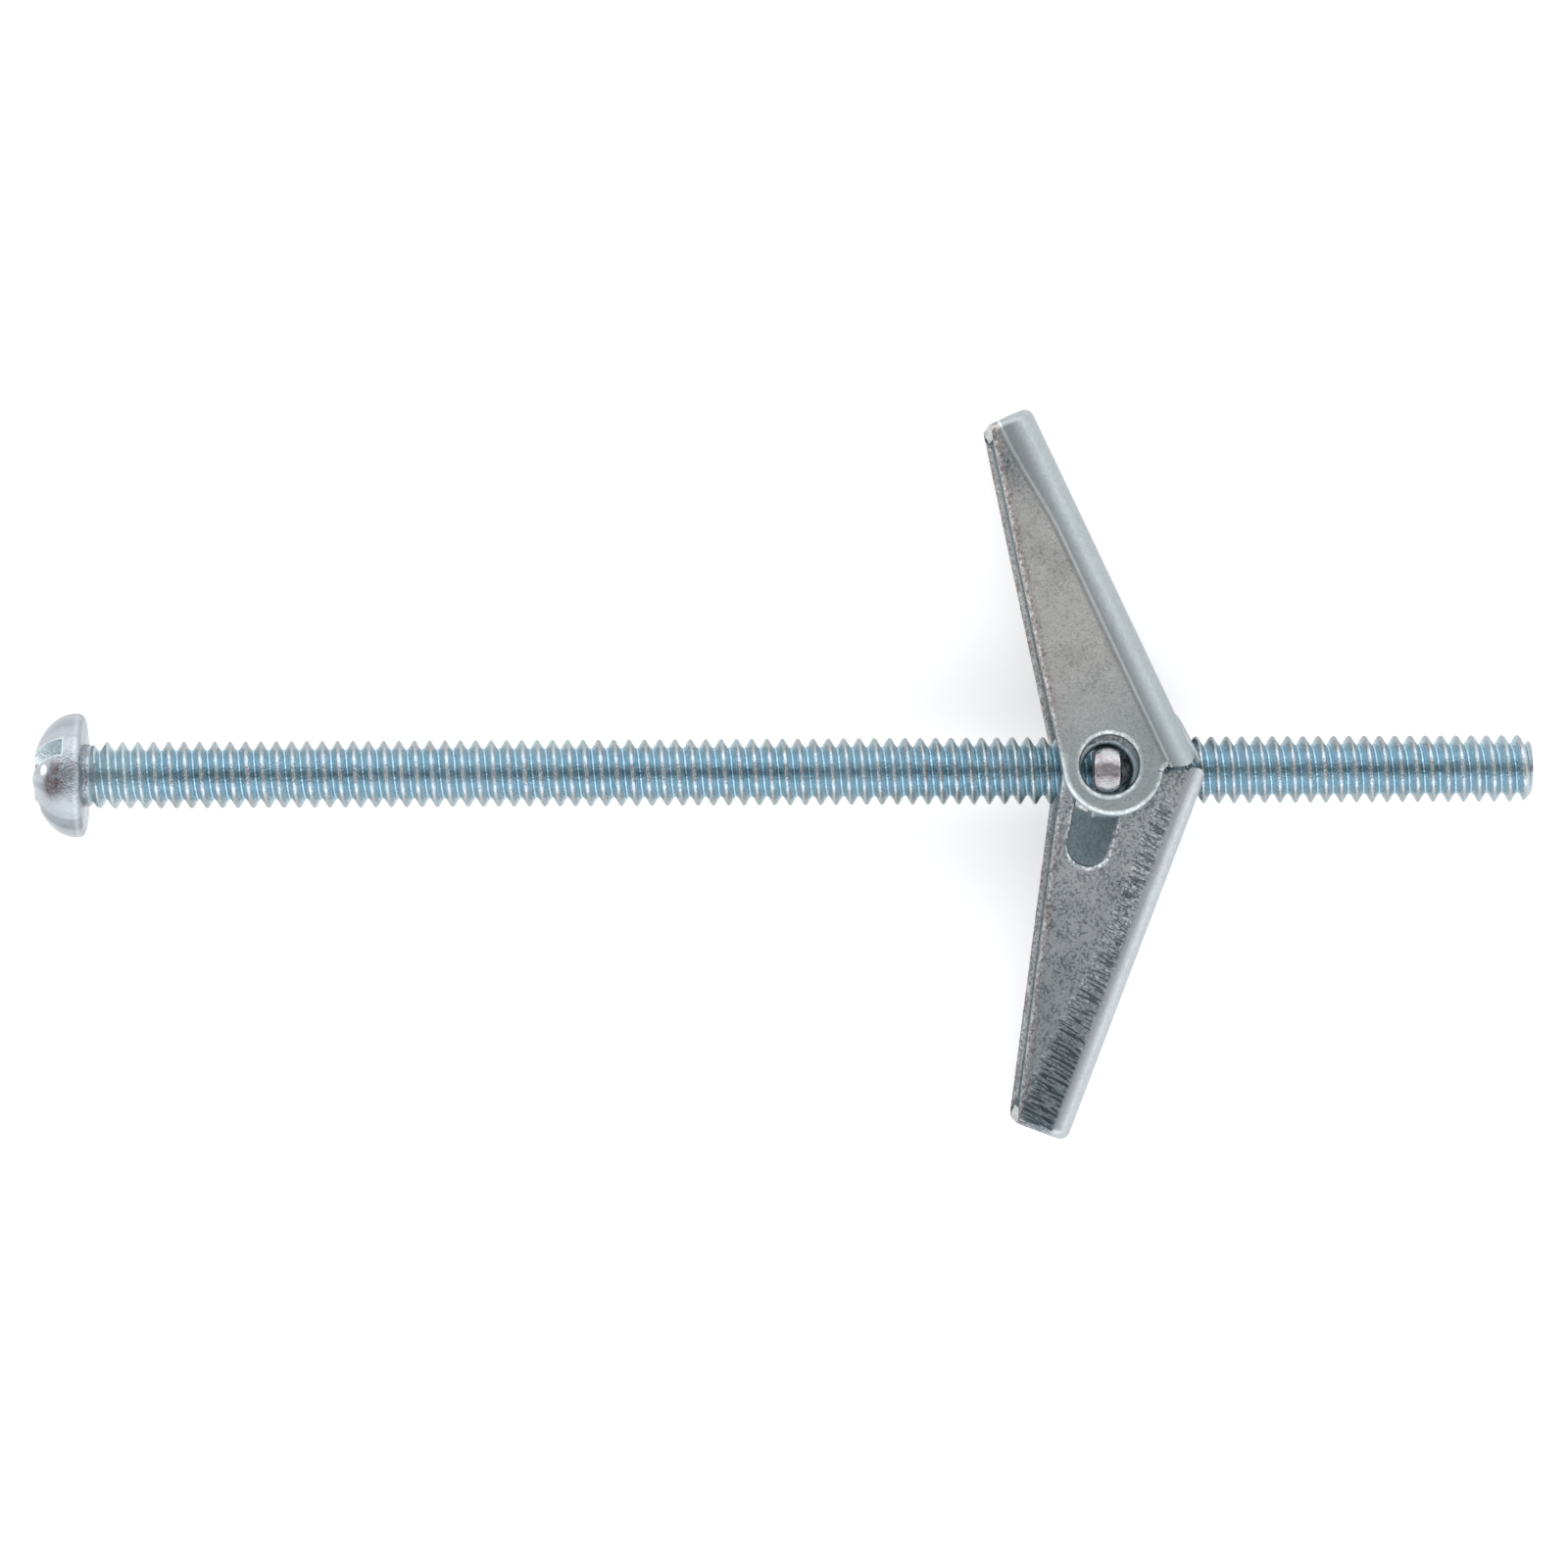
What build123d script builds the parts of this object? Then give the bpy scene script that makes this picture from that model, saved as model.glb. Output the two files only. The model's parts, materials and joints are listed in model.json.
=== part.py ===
from build123d import *
from math import asin, atan, cos, degrees, hypot, radians, sin, sqrt, tan
import os

# Spring toggle bolt, lying as it comes to rest on its wings.
# The origin is the centre of the head's bearing face, on the screw's axis.
# +X runs along the screw to its threaded end, and +Z is the wings' pivot direction, away from the floor.
# The upper wing's tip points to +Y and the lower wing's to -Y, and both lean back toward the head.
# All sizes are in millimetres and angles in degrees.

# Screw
screw_length = 99.8
thread_pitch = 25.4 / 24
thread_radius = 2.325
thread_depth = 0.6
neck_radius = 2.15
neck_length = 0.9
seat_play = 0.03
end_chamfer = 0.55

# Round head with a slot and a cross recess
head_radius = 4.28
head_rim_height = 0.6
head_crown_height = 3.05
head_edge_round = 0.45
slot_width = 1.25
slot_depth = 2.4
slot_angle = 29
cross_reach = 2.4
cross_narrow_reach = 0.8
cross_width = 0.95
cross_depth = 2.3

# Where the wings sit on the screw, how they lean at rest, and the stop where their heels meet
pivot_x = 70.2
upper_lean_angle = 25.1
lower_lean_angle = 21.1
heel_gap = 0.16
heel_round = 0.7

# Folded sheet wing, where u runs from the pivot to the tip and v out of the open side
sheet = 0.9
wing_reach = 24.6
toggle_width = 12.7
ear_gap = 0.15
web_offset = 5.8
tip_depth = 2.95
ear_radius = 3.45
ear_center = (0.1, -0.5)
outer_bend_radius = 1.9
inner_bend_radius = 1.4
tip_bend_radius = 0.95
ear_hole_radius = 2.0
ear_hole_center = (0.28, -0.28)
ear_slot_end = (5.2, -0.65)
ear_slot_end_radius = 1.4
arm_clearance = 0.1
notch_clearance = 0.33
notch_end = 0.9
lip_width = 0.6
lip_height = 0.25

# Trunnion nut: a plate with a tapped neck and two arms
nut_thickness = 1.75
nut_width = 6.6
nut_height = 6.0
nut_corner_radius = 1.2
nut_neck_wall = 0.57
nut_neck_end = 3.2
arm_radius = 1.55
arm_end_round = 0.35
arm_setback = 0.05
thread_play = 0.055

# Torsion spring: the wire's radius is a share of the room between the nut and the inner ear,
# and the coil's rise is a share of the wire's radius
wire_share = 0.185
rise_share = 2.4
coil_radius = 2.05
coil_gap = 0.05
leg_play = 0.025
leg_length = 12.6
bridge_bend_radius = 1.2

# Sizes that follow from the ones above
root_radius = thread_radius - thread_depth
outer_face = toggle_width / 2
outer_ear_inside = outer_face - sheet
inner_face = outer_ear_inside - ear_gap
inner_ear_inside = inner_face - sheet
web_inside = web_offset - sheet
notch_radius = thread_radius + notch_clearance
notch_center = notch_end - notch_radius
nut_bore_radius = thread_radius + thread_play
nut_neck_radius = nut_bore_radius + nut_neck_wall
arm_reach = outer_face - arm_setback
heel_cut_angle = (upper_lean_angle + lower_lean_angle) / 2
pivot = Vector(pivot_x, 0, 0)
seat_inner_radius = thread_radius + seat_play
neck_round = seat_inner_radius - neck_radius
coil_room = inner_ear_inside - nut_height / 2 - coil_gap
wire_radius = coil_room * wire_share
coil_rise = wire_radius * rise_share
leg_spread = web_inside - wire_radius - leg_play
leg_toe_in = degrees(asin(leg_spread / hypot(coil_radius, leg_length)) - atan(coil_radius / leg_length))

os.makedirs("parts", exist_ok=True)


def wing_plane(lean, side):
    """Plane of a wing at rest, whose x is u and whose y is v; side is 1, or -1 for a wing turned over."""
    along = (-sin(radians(lean)), side * cos(radians(lean)), 0)
    return Plane(origin=pivot, x_dir=along, z_dir=(0, 0, side))


def heel_point(v):
    """Point of the slanted heel cut at the given v, half the gap away from the opposite wing."""
    return (v * tan(radians(heel_cut_angle)) + heel_gap / 2 / cos(radians(heel_cut_angle)), v)


def ear_tangent(u, v):
    """Point where the open edge from (u, v) runs onto the ear's round end."""
    toward = Vector(u, v) - Vector(*ear_center)
    along = ear_radius**2 / toward.length
    across = sqrt(ear_radius**2 - along**2)
    heading = toward.normalized()
    touch = Vector(*ear_center) + heading * along + Vector(-heading.Y, heading.X) * across
    return (touch.X, touch.Y)


# Screw: one turned profile, with the thread as rings of its real pitch, then the recess cut into the head
head_top = -head_rim_height - head_crown_height
rim_round = head_edge_round * sin(radians(45))
with BuildPart() as screw:
    with BuildSketch(Plane.XY) as half_section:
        with BuildLine() as profile:
            EllipticalCenterArc(
                (-head_rim_height, 0), head_crown_height, head_radius, start_angle=90, arc_size=90
            )
            Line((-head_rim_height, head_radius), (-head_edge_round, head_radius))
            rim_center = Vector(-head_edge_round, head_radius - head_edge_round)
            ThreePointArc(
                (-head_edge_round, head_radius),
                rim_center + Vector(rim_round, rim_round),
                (0, head_radius - head_edge_round),
            )
            Line((0, head_radius - head_edge_round), (0, seat_inner_radius))
            neck_round_reach = neck_round * sin(radians(45))
            ThreePointArc(
                (0, seat_inner_radius),
                Vector(neck_round, seat_inner_radius) - Vector(neck_round_reach, neck_round_reach),
                (neck_round, neck_radius),
            )
            edge = [(neck_round, neck_radius), (neck_length, neck_radius), (neck_length, root_radius)]
            ring_count = int((screw_length - neck_length) / thread_pitch) + 1
            for ring in range(ring_count):
                ring_start = neck_length + ring * thread_pitch
                edge.append((ring_start + thread_pitch / 2, thread_radius))
                edge.append((ring_start + thread_pitch, root_radius))
            edge.append((edge[-1][0], 0))
            edge.append((head_top, 0))
            Polyline(*edge)
        make_face()
        with BuildLine() as end_cut:
            Polyline(
                (screw_length - end_chamfer, thread_radius),
                (screw_length, thread_radius - end_chamfer),
                (screw_length, 0),
                (screw_length + 2 * thread_pitch, 0),
                (screw_length + 2 * thread_pitch, thread_radius + thread_depth),
                (screw_length - end_chamfer, thread_radius + thread_depth),
                close=True,
            )
        make_face(mode=Mode.SUBTRACT)
    revolve(axis=Axis.X)
    across_slot = (0, sin(radians(slot_angle)), cos(radians(slot_angle)))
    head_plane = Plane(origin=(head_top, 0, 0), x_dir=across_slot, z_dir=(-1, 0, 0))
    with BuildSketch(head_plane) as slot:
        Rectangle(3 * head_radius, slot_width)
    extrude(amount=-slot_depth, mode=Mode.SUBTRACT)
    for wing_direction in (head_plane.x_dir, head_plane.y_dir):
        sideways = wing_direction.cross(Vector(1, 0, 0))
        cross_plane = Plane(origin=(head_top, 0, 0), x_dir=wing_direction, z_dir=sideways)
        with BuildSketch(cross_plane) as cross_wing:
            with BuildLine() as cross_edge:
                Polyline(
                    (-cross_reach, 0),
                    (cross_reach, 0),
                    (cross_narrow_reach, cross_depth),
                    (-cross_narrow_reach, cross_depth),
                    close=True,
                )
            make_face()
        extrude(amount=cross_width / 2, both=True, mode=Mode.SUBTRACT)
screw.part.label = "screw"
export_step(screw.part, "parts/screw.step")

# Trunnion nut: plate and arms of one thickness, with a tapped neck toward the threaded end
with BuildPart() as trunnion_nut:
    with BuildSketch(Plane.YZ.offset(pivot_x)) as plate:
        RectangleRounded(nut_width, nut_height, nut_corner_radius)
    extrude(amount=nut_thickness / 2, both=True)
    with BuildSketch(Plane(origin=pivot, z_dir=(0, 0, 1))) as arm_section:
        Circle(arm_radius)
        Rectangle(nut_thickness, 2 * arm_radius, mode=Mode.INTERSECT)
    extrude(amount=arm_reach, both=True)
    arm_ends = trunnion_nut.faces().filter_by(Axis.Z).group_by(Axis.Z)
    fillet((arm_ends[0] + arm_ends[-1]).edges(), radius=arm_end_round)
    with BuildSketch(Plane.YZ.offset(pivot_x)) as neck:
        Circle(nut_neck_radius)
    extrude(amount=nut_neck_end)
    with BuildSketch(Plane.YZ.offset(pivot_x - nut_thickness)) as bore:
        Circle(nut_bore_radius)
    extrude(amount=nut_neck_end + 2 * nut_thickness, mode=Mode.SUBTRACT)
trunnion_nut.part.label = "trunnion_nut"
export_step(trunnion_nut.part, "parts/trunnion_nut.step")


# Torsion spring: a free leg in the lower wing, a coil round each arm, and a bridge across the upper wing
def around_arm(angle, height):
    """Point of the coil's centre line at an angle from +X about the pivot."""
    return pivot + Vector(coil_radius * cos(radians(angle)), coil_radius * sin(radians(angle)), height)


def heading(angle):
    """Direction at an angle from +X in the floor's plane."""
    return Vector(cos(radians(angle)), sin(radians(angle)), 0)


free_angle = leg_toe_in - lower_lean_angle
bridge_angle = upper_lean_angle - leg_toe_in
inner_height = nut_height / 2 + coil_gap + wire_radius
outer_height = inner_height + coil_rise
rise_turn = 180
flat_turn = (360 + bridge_angle - free_angle - rise_turn) / 2
with BuildPart() as torsion_spring:
    with BuildLine() as wire:
        free_start = around_arm(free_angle, outer_height)
        rise_start = free_angle + flat_turn
        Line(free_start - heading(free_angle + 90) * leg_length, free_start)
        for level in (1, -1):
            ThreePointArc(
                around_arm(free_angle, level * outer_height),
                around_arm(free_angle + flat_turn / 2, level * outer_height),
                around_arm(rise_start, level * outer_height),
            )
            ThreePointArc(
                around_arm(rise_start, level * outer_height),
                around_arm(rise_start + rise_turn / 2, level * (inner_height + outer_height) / 2),
                around_arm(rise_start + rise_turn, level * inner_height),
            )
            ThreePointArc(
                around_arm(rise_start + rise_turn, level * inner_height),
                around_arm(rise_start + rise_turn + flat_turn / 2, level * inner_height),
                around_arm(bridge_angle, level * inner_height),
            )
        FilletPolyline(
            around_arm(bridge_angle, inner_height),
            around_arm(bridge_angle, inner_height) + heading(bridge_angle + 90) * leg_length,
            around_arm(bridge_angle, -inner_height) + heading(bridge_angle + 90) * leg_length,
            around_arm(bridge_angle, -inner_height),
            radius=bridge_bend_radius,
        )
        free_end = around_arm(free_angle, -outer_height)
        Line(free_end, free_end - heading(free_angle + 90) * leg_length)
    wire_start = free_start - heading(free_angle + 90) * leg_length
    with BuildSketch(Plane(origin=wire_start, z_dir=heading(free_angle + 90))) as wire_section:
        Circle(wire_radius)
    sweep(path=wire.line)
torsion_spring.part.label = "torsion_spring"
export_step(torsion_spring.part, "parts/torsion_spring.step")

# Wings: the same folded channel twice, the lower one turned over
mouth = ear_tangent(wing_reach, tip_depth - web_offset)
heel_corner_point = Vector(*heel_point(-web_offset))
heel_half_corner = (90 - heel_cut_angle) / 2
heel_run = heel_round / tan(radians(heel_half_corner))
heel_web_end = heel_corner_point + Vector(heel_run, 0)
heel_slant = Vector(sin(radians(heel_cut_angle)), cos(radians(heel_cut_angle)))
heel_ear_end = heel_corner_point + heel_slant * heel_run
heel_round_center = heel_web_end + Vector(0, heel_round)
for wing_name, lean, side in (("upper_wing", upper_lean_angle, 1), ("lower_wing", lower_lean_angle, -1)):
    seat = wing_plane(lean, side)
    along = Axis(seat.origin, seat.x_dir)
    open_side = Axis(seat.origin, seat.y_dir)
    upward = Axis(seat.origin, seat.z_dir)
    web_plane = Plane(seat.from_local_coords((0, -web_offset, 0)), x_dir=seat.x_dir, z_dir=-seat.y_dir)
    with BuildPart() as wing:
        with BuildSketch(seat.offset(-inner_face)) as side_view:
            with BuildLine() as side_edge:
                Polyline(
                    ear_center,
                    heel_point(ear_center[1]),
                    heel_corner_point,
                    (wing_reach, -web_offset),
                    (wing_reach, tip_depth - web_offset),
                    mouth,
                    close=True,
                )
            make_face()
            with Locations(ear_center):
                Circle(ear_radius)
        extrude(amount=inner_face + outer_face)
        fillet(wing.edges().filter_by(along).sort_by(upward)[-1], radius=outer_bend_radius)
        fillet(wing.edges().filter_by(along).sort_by(upward)[0], radius=inner_bend_radius)
        tip_face = wing.faces().filter_by(along).sort_by(along)[-1]
        fillet(tip_face.edges().sort_by(open_side)[:-1], radius=tip_bend_radius)
        with BuildSketch(seat.offset(-inner_ear_inside)) as hollow:
            with BuildLine() as hollow_edge:
                Polyline(
                    (-wing_reach, -web_inside),
                    (wing_reach - sheet, -web_inside),
                    (wing_reach - sheet, wing_reach),
                    (-wing_reach, wing_reach),
                    close=True,
                )
            make_face()
        extrude(amount=inner_ear_inside + outer_ear_inside, mode=Mode.SUBTRACT)
        outer_corner = wing.edges().filter_by(along).group_by(open_side)[1].sort_by(upward)[-1]
        fillet(outer_corner, radius=outer_bend_radius - sheet)
        inner_corner = wing.edges().filter_by(along).group_by(open_side)[1].sort_by(upward)[0]
        fillet(inner_corner, radius=inner_bend_radius - sheet)
        with BuildSketch(seat.offset(-inner_face - sheet)) as heel_corner:
            with BuildLine() as heel_edge:
                Polyline(heel_web_end, heel_corner_point, heel_ear_end, heel_round_center, close=True)
            make_face()
            with Locations(heel_round_center):
                Circle(heel_round, mode=Mode.SUBTRACT)
        extrude(amount=toggle_width + 2 * sheet, mode=Mode.SUBTRACT)
        with BuildSketch(seat.offset(outer_ear_inside - ear_gap)) as ear_hole:
            with Locations(ear_hole_center):
                Circle(ear_hole_radius)
        extrude(amount=sheet + 2 * ear_gap, mode=Mode.SUBTRACT)
        with BuildSketch(seat.offset(-inner_ear_inside + ear_gap)) as ear_slot:
            Circle(arm_radius + arm_clearance)
            with Locations(ear_slot_end):
                Circle(ear_slot_end_radius)
            make_hull()
        extrude(amount=-sheet - 2 * ear_gap, mode=Mode.SUBTRACT)
        with BuildSketch(web_plane) as lip:
            with Locations((notch_center, 0)):
                Circle(notch_radius + lip_width)
            with Locations((heel_web_end.X, 0)):
                Rectangle(wing_reach, 4 * notch_radius, align=(Align.MAX, Align.CENTER), mode=Mode.SUBTRACT)
        extrude(amount=lip_height)
        with BuildSketch(web_plane.offset(lip_height)) as notch:
            with Locations((notch_center, 0)):
                Circle(notch_radius)
                Rectangle(wing_reach, 2 * notch_radius, align=(Align.MAX, Align.CENTER))
        extrude(amount=-lip_height - 2 * sheet, mode=Mode.SUBTRACT)
    wing.part.label = wing_name
    export_step(wing.part, f"parts/{wing_name}.step")
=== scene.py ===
"""The looks of a spring toggle bolt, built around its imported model.

Each sub-assembly is a class that builds its own meshes, each finish is a small class that builds its own
material, and main() makes them in order. Sizes are in millimetres, and a finished mesh is scaled to metres.
"""
import json
import logging
from dataclasses import dataclass
from enum import Enum
from math import acos, atan2, cos, degrees, hypot, pi, radians, sin, sqrt, tan

import bmesh
import bpy
from mathutils import Euler, Matrix, Vector


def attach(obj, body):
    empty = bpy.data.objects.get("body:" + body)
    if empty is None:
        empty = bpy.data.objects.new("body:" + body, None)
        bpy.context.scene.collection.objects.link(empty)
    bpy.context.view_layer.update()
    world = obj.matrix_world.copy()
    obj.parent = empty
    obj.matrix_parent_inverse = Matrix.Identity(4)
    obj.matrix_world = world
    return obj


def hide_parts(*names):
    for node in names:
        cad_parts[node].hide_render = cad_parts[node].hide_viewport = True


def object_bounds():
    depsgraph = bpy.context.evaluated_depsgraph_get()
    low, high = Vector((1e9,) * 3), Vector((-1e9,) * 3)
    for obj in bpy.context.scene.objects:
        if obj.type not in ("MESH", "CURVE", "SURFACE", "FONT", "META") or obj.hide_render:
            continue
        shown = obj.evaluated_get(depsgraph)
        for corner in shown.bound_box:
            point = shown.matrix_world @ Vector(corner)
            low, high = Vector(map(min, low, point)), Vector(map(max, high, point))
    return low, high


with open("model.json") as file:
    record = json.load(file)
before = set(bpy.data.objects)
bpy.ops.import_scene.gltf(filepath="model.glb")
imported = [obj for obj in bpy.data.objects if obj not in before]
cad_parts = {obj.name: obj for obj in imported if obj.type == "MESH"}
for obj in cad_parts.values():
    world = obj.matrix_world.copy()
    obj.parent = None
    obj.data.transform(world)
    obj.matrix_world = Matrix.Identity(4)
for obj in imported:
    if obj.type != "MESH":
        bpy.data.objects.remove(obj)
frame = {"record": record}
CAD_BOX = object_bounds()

# Metres in a millimetre, and the gap in millimetres below which two places count as one
MM = 0.001
SAME = 1e-4
log = logging.getLogger("toggle_bolt")

Number = float | int
Point = tuple[float, float]
Place = tuple[float, float, float]
Color = tuple[float, float, float]
Material = bpy.types.Material
Piece = bpy.types.Object
Socket = bpy.types.NodeSocket
Mesh = bmesh.types.BMesh
Vert = bmesh.types.BMVert
Edge = bmesh.types.BMEdge


class Side(Enum):
    """Which of the two wings a piece belongs to."""

    UPPER = "upper"
    LOWER = "lower"


# Shader building


@dataclass(frozen=True)
class Value:
    """A number that varies over a surface: one output socket, with maths written as Python operators."""

    tree: bpy.types.NodeTree
    socket: Socket

    def maths(self, operation: str, *others: "Value | Number", turned: bool = False) -> "Value":
        """Adds a Math node.

        Args:
            operation: Blender's name of the operation.
            others: the other operands, as values or plain numbers.
            turned: whether this value is the second operand.
        Returns:
            The result as a new value.
        """
        node = self.tree.nodes.new("ShaderNodeMath")
        node.operation = operation
        operands = (*others, self) if turned else (self, *others)
        for place, operand in zip(node.inputs, operands):
            if isinstance(operand, Value):
                self.tree.links.new(operand.socket, place)
            else:
                place.default_value = operand
        return Value(self.tree, node.outputs[0])

    def __add__(self, other: "Value | Number") -> "Value":
        """Returns self + other."""
        return self.maths("ADD", other)

    def __radd__(self, other: Number) -> "Value":
        """Returns other + self."""
        return self.maths("ADD", other)

    def __sub__(self, other: "Value | Number") -> "Value":
        """Returns self - other."""
        return self.maths("SUBTRACT", other)

    def __rsub__(self, other: Number) -> "Value":
        """Returns other - self."""
        return self.maths("SUBTRACT", other, turned=True)

    def __mul__(self, other: "Value | Number") -> "Value":
        """Returns self * other."""
        return self.maths("MULTIPLY", other)

    def __rmul__(self, other: Number) -> "Value":
        """Returns other * self."""
        return self.maths("MULTIPLY", other)

    def __truediv__(self, other: "Value | Number") -> "Value":
        """Returns self / other."""
        return self.maths("DIVIDE", other)

    def __pow__(self, other: Number) -> "Value":
        """Returns self to the given power."""
        return self.maths("POWER", other)

    def __abs__(self) -> "Value":
        """Returns the value without its sign."""
        return self.maths("ABSOLUTE")


class Nodes:
    """A node tree, and the one way in which nodes other than Math are added to it."""

    def __init__(self, tree: bpy.types.NodeTree, coordinates: str) -> None:
        """Empties the tree and gives it its coordinates.

        Args:
            tree: the tree of a material or of the world.
            coordinates: which texture coordinates it reads.
        """
        self.tree = tree
        self.tree.nodes.clear()
        self.places = self.node("ShaderNodeTexCoord").outputs[coordinates]

    def node(self, kind: str, settings: dict | None = None, sockets: dict | None = None) -> bpy.types.Node:
        """Adds any node but a Math node.

        Args:
            kind: the node's type.
            settings: properties, which are set first; "stops" gives a ramp's positions and colours.
            sockets: input names or numbers to values, links or plain constants.
        Returns:
            The new node.
        """
        made = self.tree.nodes.new(kind)
        for key, setting in (settings or {}).items():
            if key == "stops":
                ramp = made.color_ramp
                while len(ramp.elements) < len(setting):
                    ramp.elements.new(1.0)
                for element, (position, color) in zip(ramp.elements, setting):
                    element.position = position
                    element.color = (*color, 1.0)
            else:
                setattr(made, key, setting)
        for key, given in (sockets or {}).items():
            place = made.inputs[key]
            if isinstance(given, Value):
                self.tree.links.new(given.socket, place)
            elif isinstance(given, Socket):
                self.tree.links.new(given, place)
            else:
                place.default_value = given
        return made

    def value(self, socket: Socket) -> Value:
        """Wraps a socket so that it can be used in an expression."""
        return Value(self.tree, socket)

    def split(self, vector: Socket) -> tuple[Value, Value, Value]:
        """Returns a vector's three parts as values."""
        parts = self.node("ShaderNodeSeparateXYZ", sockets={"Vector": vector})
        return tuple(self.value(output) for output in parts.outputs)

    def join(self, x: Value, y: Value) -> Socket:
        """Returns a vector made of two values."""
        return self.node("ShaderNodeCombineXYZ", None, {"X": x, "Y": y}).outputs["Vector"]


@dataclass(frozen=True)
class PaintedSpot:
    """A ragged spot of painted reflection: its colour, its centre, how far it is full and where it ends, all
    in millimetres.
    """

    color: Color
    center: Place
    full: float
    end: float
    strength: float = 1.0


class Surface(Nodes):
    """One material and the nodes that make it."""

    def __init__(self, name: str) -> None:
        """Starts an empty material of the given name.

        Args:
            name: the material's name.
        """
        self.material = bpy.data.materials.new(name)
        self.material.use_nodes = True
        super().__init__(self.material.node_tree, "Object")

    def noise(self, vector: Socket, scale: float, detail: float = 2.0, seed: float = 0.0) -> Value:
        """Adds soft noise.

        Args:
            vector: the coordinates it reads.
            scale: how many cells fit in one unit of the coordinates.
            detail: octaves of finer noise.
            seed: another value gives another pattern.
        Returns:
            The noise, from 0 to 1 with most of it near 0.5.
        """
        made = self.node(
            "ShaderNodeTexNoise",
            {"noise_dimensions": "4D"},
            {"Vector": vector, "Scale": scale, "Detail": detail, "W": seed},
        )
        return self.value(made.outputs["Fac"])

    def rise(self, given: Value, low: float, high: float) -> Value:
        """Adds a smooth step.

        Args:
            given: what is judged.
            low: where the step is still 0; it may be the larger one, for a step down.
            high: where it has reached 1.
        Returns:
            The step, from 0 to 1.
        """
        made = self.node(
            "ShaderNodeMapRange",
            {"interpolation_type": "SMOOTHSTEP"},
            {"Value": given, "From Min": low, "From Max": high},
        )
        return self.value(made.outputs["Result"])

    def near(self, given: Value, center: float, half: float) -> Value:
        """Returns 1 where the value is at the centre, and 0 from half away from it."""
        return self.rise(abs(given - center), half, 0.0)

    def mark(self, mark: PaintedSpot, ragged: Value, color: Socket) -> Socket:
        """Lays a spot of painted reflection over a colour.

        Args:
            mark: the spot, a painted reflection.
            ragged: noise that moves its edge in and out.
            color: what it is laid over.
        Returns:
            The colour with the painted spot on it.
        """
        center = tuple(part * MM for part in mark.center)
        away = self.node("ShaderNodeVectorMath", {"operation": "DISTANCE"}, {0: self.places, 1: center})
        distance = self.value(away.outputs["Value"]) / MM + (ragged - 0.5) * 0.8
        return self.blend(self.rise(distance, mark.end, mark.full) * mark.strength, color, mark.color)

    def blend(self, amount: Value | Number, low: Color | Socket, high: Color | Socket) -> Socket:
        """Mixes two colours.

        Args:
            amount: 0 for the first colour and 1 for the second.
            low: the first colour.
            high: the second colour.
        Returns:
            The mixed colour.
        """
        low = (*low, 1.0) if isinstance(low, tuple) else low
        high = (*high, 1.0) if isinstance(high, tuple) else high
        made = self.node("ShaderNodeMix", {"data_type": "RGBA"}, {0: amount, 6: low, 7: high})
        return made.outputs[2]

    def bump(self, height: Value, depth: float) -> Socket:
        """Adds a bump.

        Args:
            height: the height, where 1 is one full depth.
            depth: that depth in millimetres.
        Returns:
            The bent normal.
        """
        made = self.node("ShaderNodeBump", None, {"Strength": 1.0, "Distance": depth * MM, "Height": height})
        return made.outputs["Normal"]

    def close(self, sockets: dict) -> Material:
        """Ends the material.

        Args:
            sockets: what goes into its shader.
        Returns:
            The finished material.
        """
        shader = self.node("ShaderNodeBsdfPrincipled", None, sockets)
        self.node("ShaderNodeOutputMaterial", None, {"Surface": shader.outputs["BSDF"]})
        return self.material

    def metal(self, color: Socket, roughness: Value, normal: Socket) -> Material:
        """Ends the material as bare or plated metal."""
        return self.close({"Base Color": color, "Metallic": 1.0, "Roughness": roughness, "Normal": normal})


# Finishes


@dataclass(frozen=True)
class ScrewSkin:
    """What the screw's marks are made from: its sizes, its coordinates in millimetres and shared noise."""

    surface: Surface
    screw: "Screw"
    x: Value
    y: Value
    z: Value
    grain: Value
    streak: Value
    speck: Value


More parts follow.
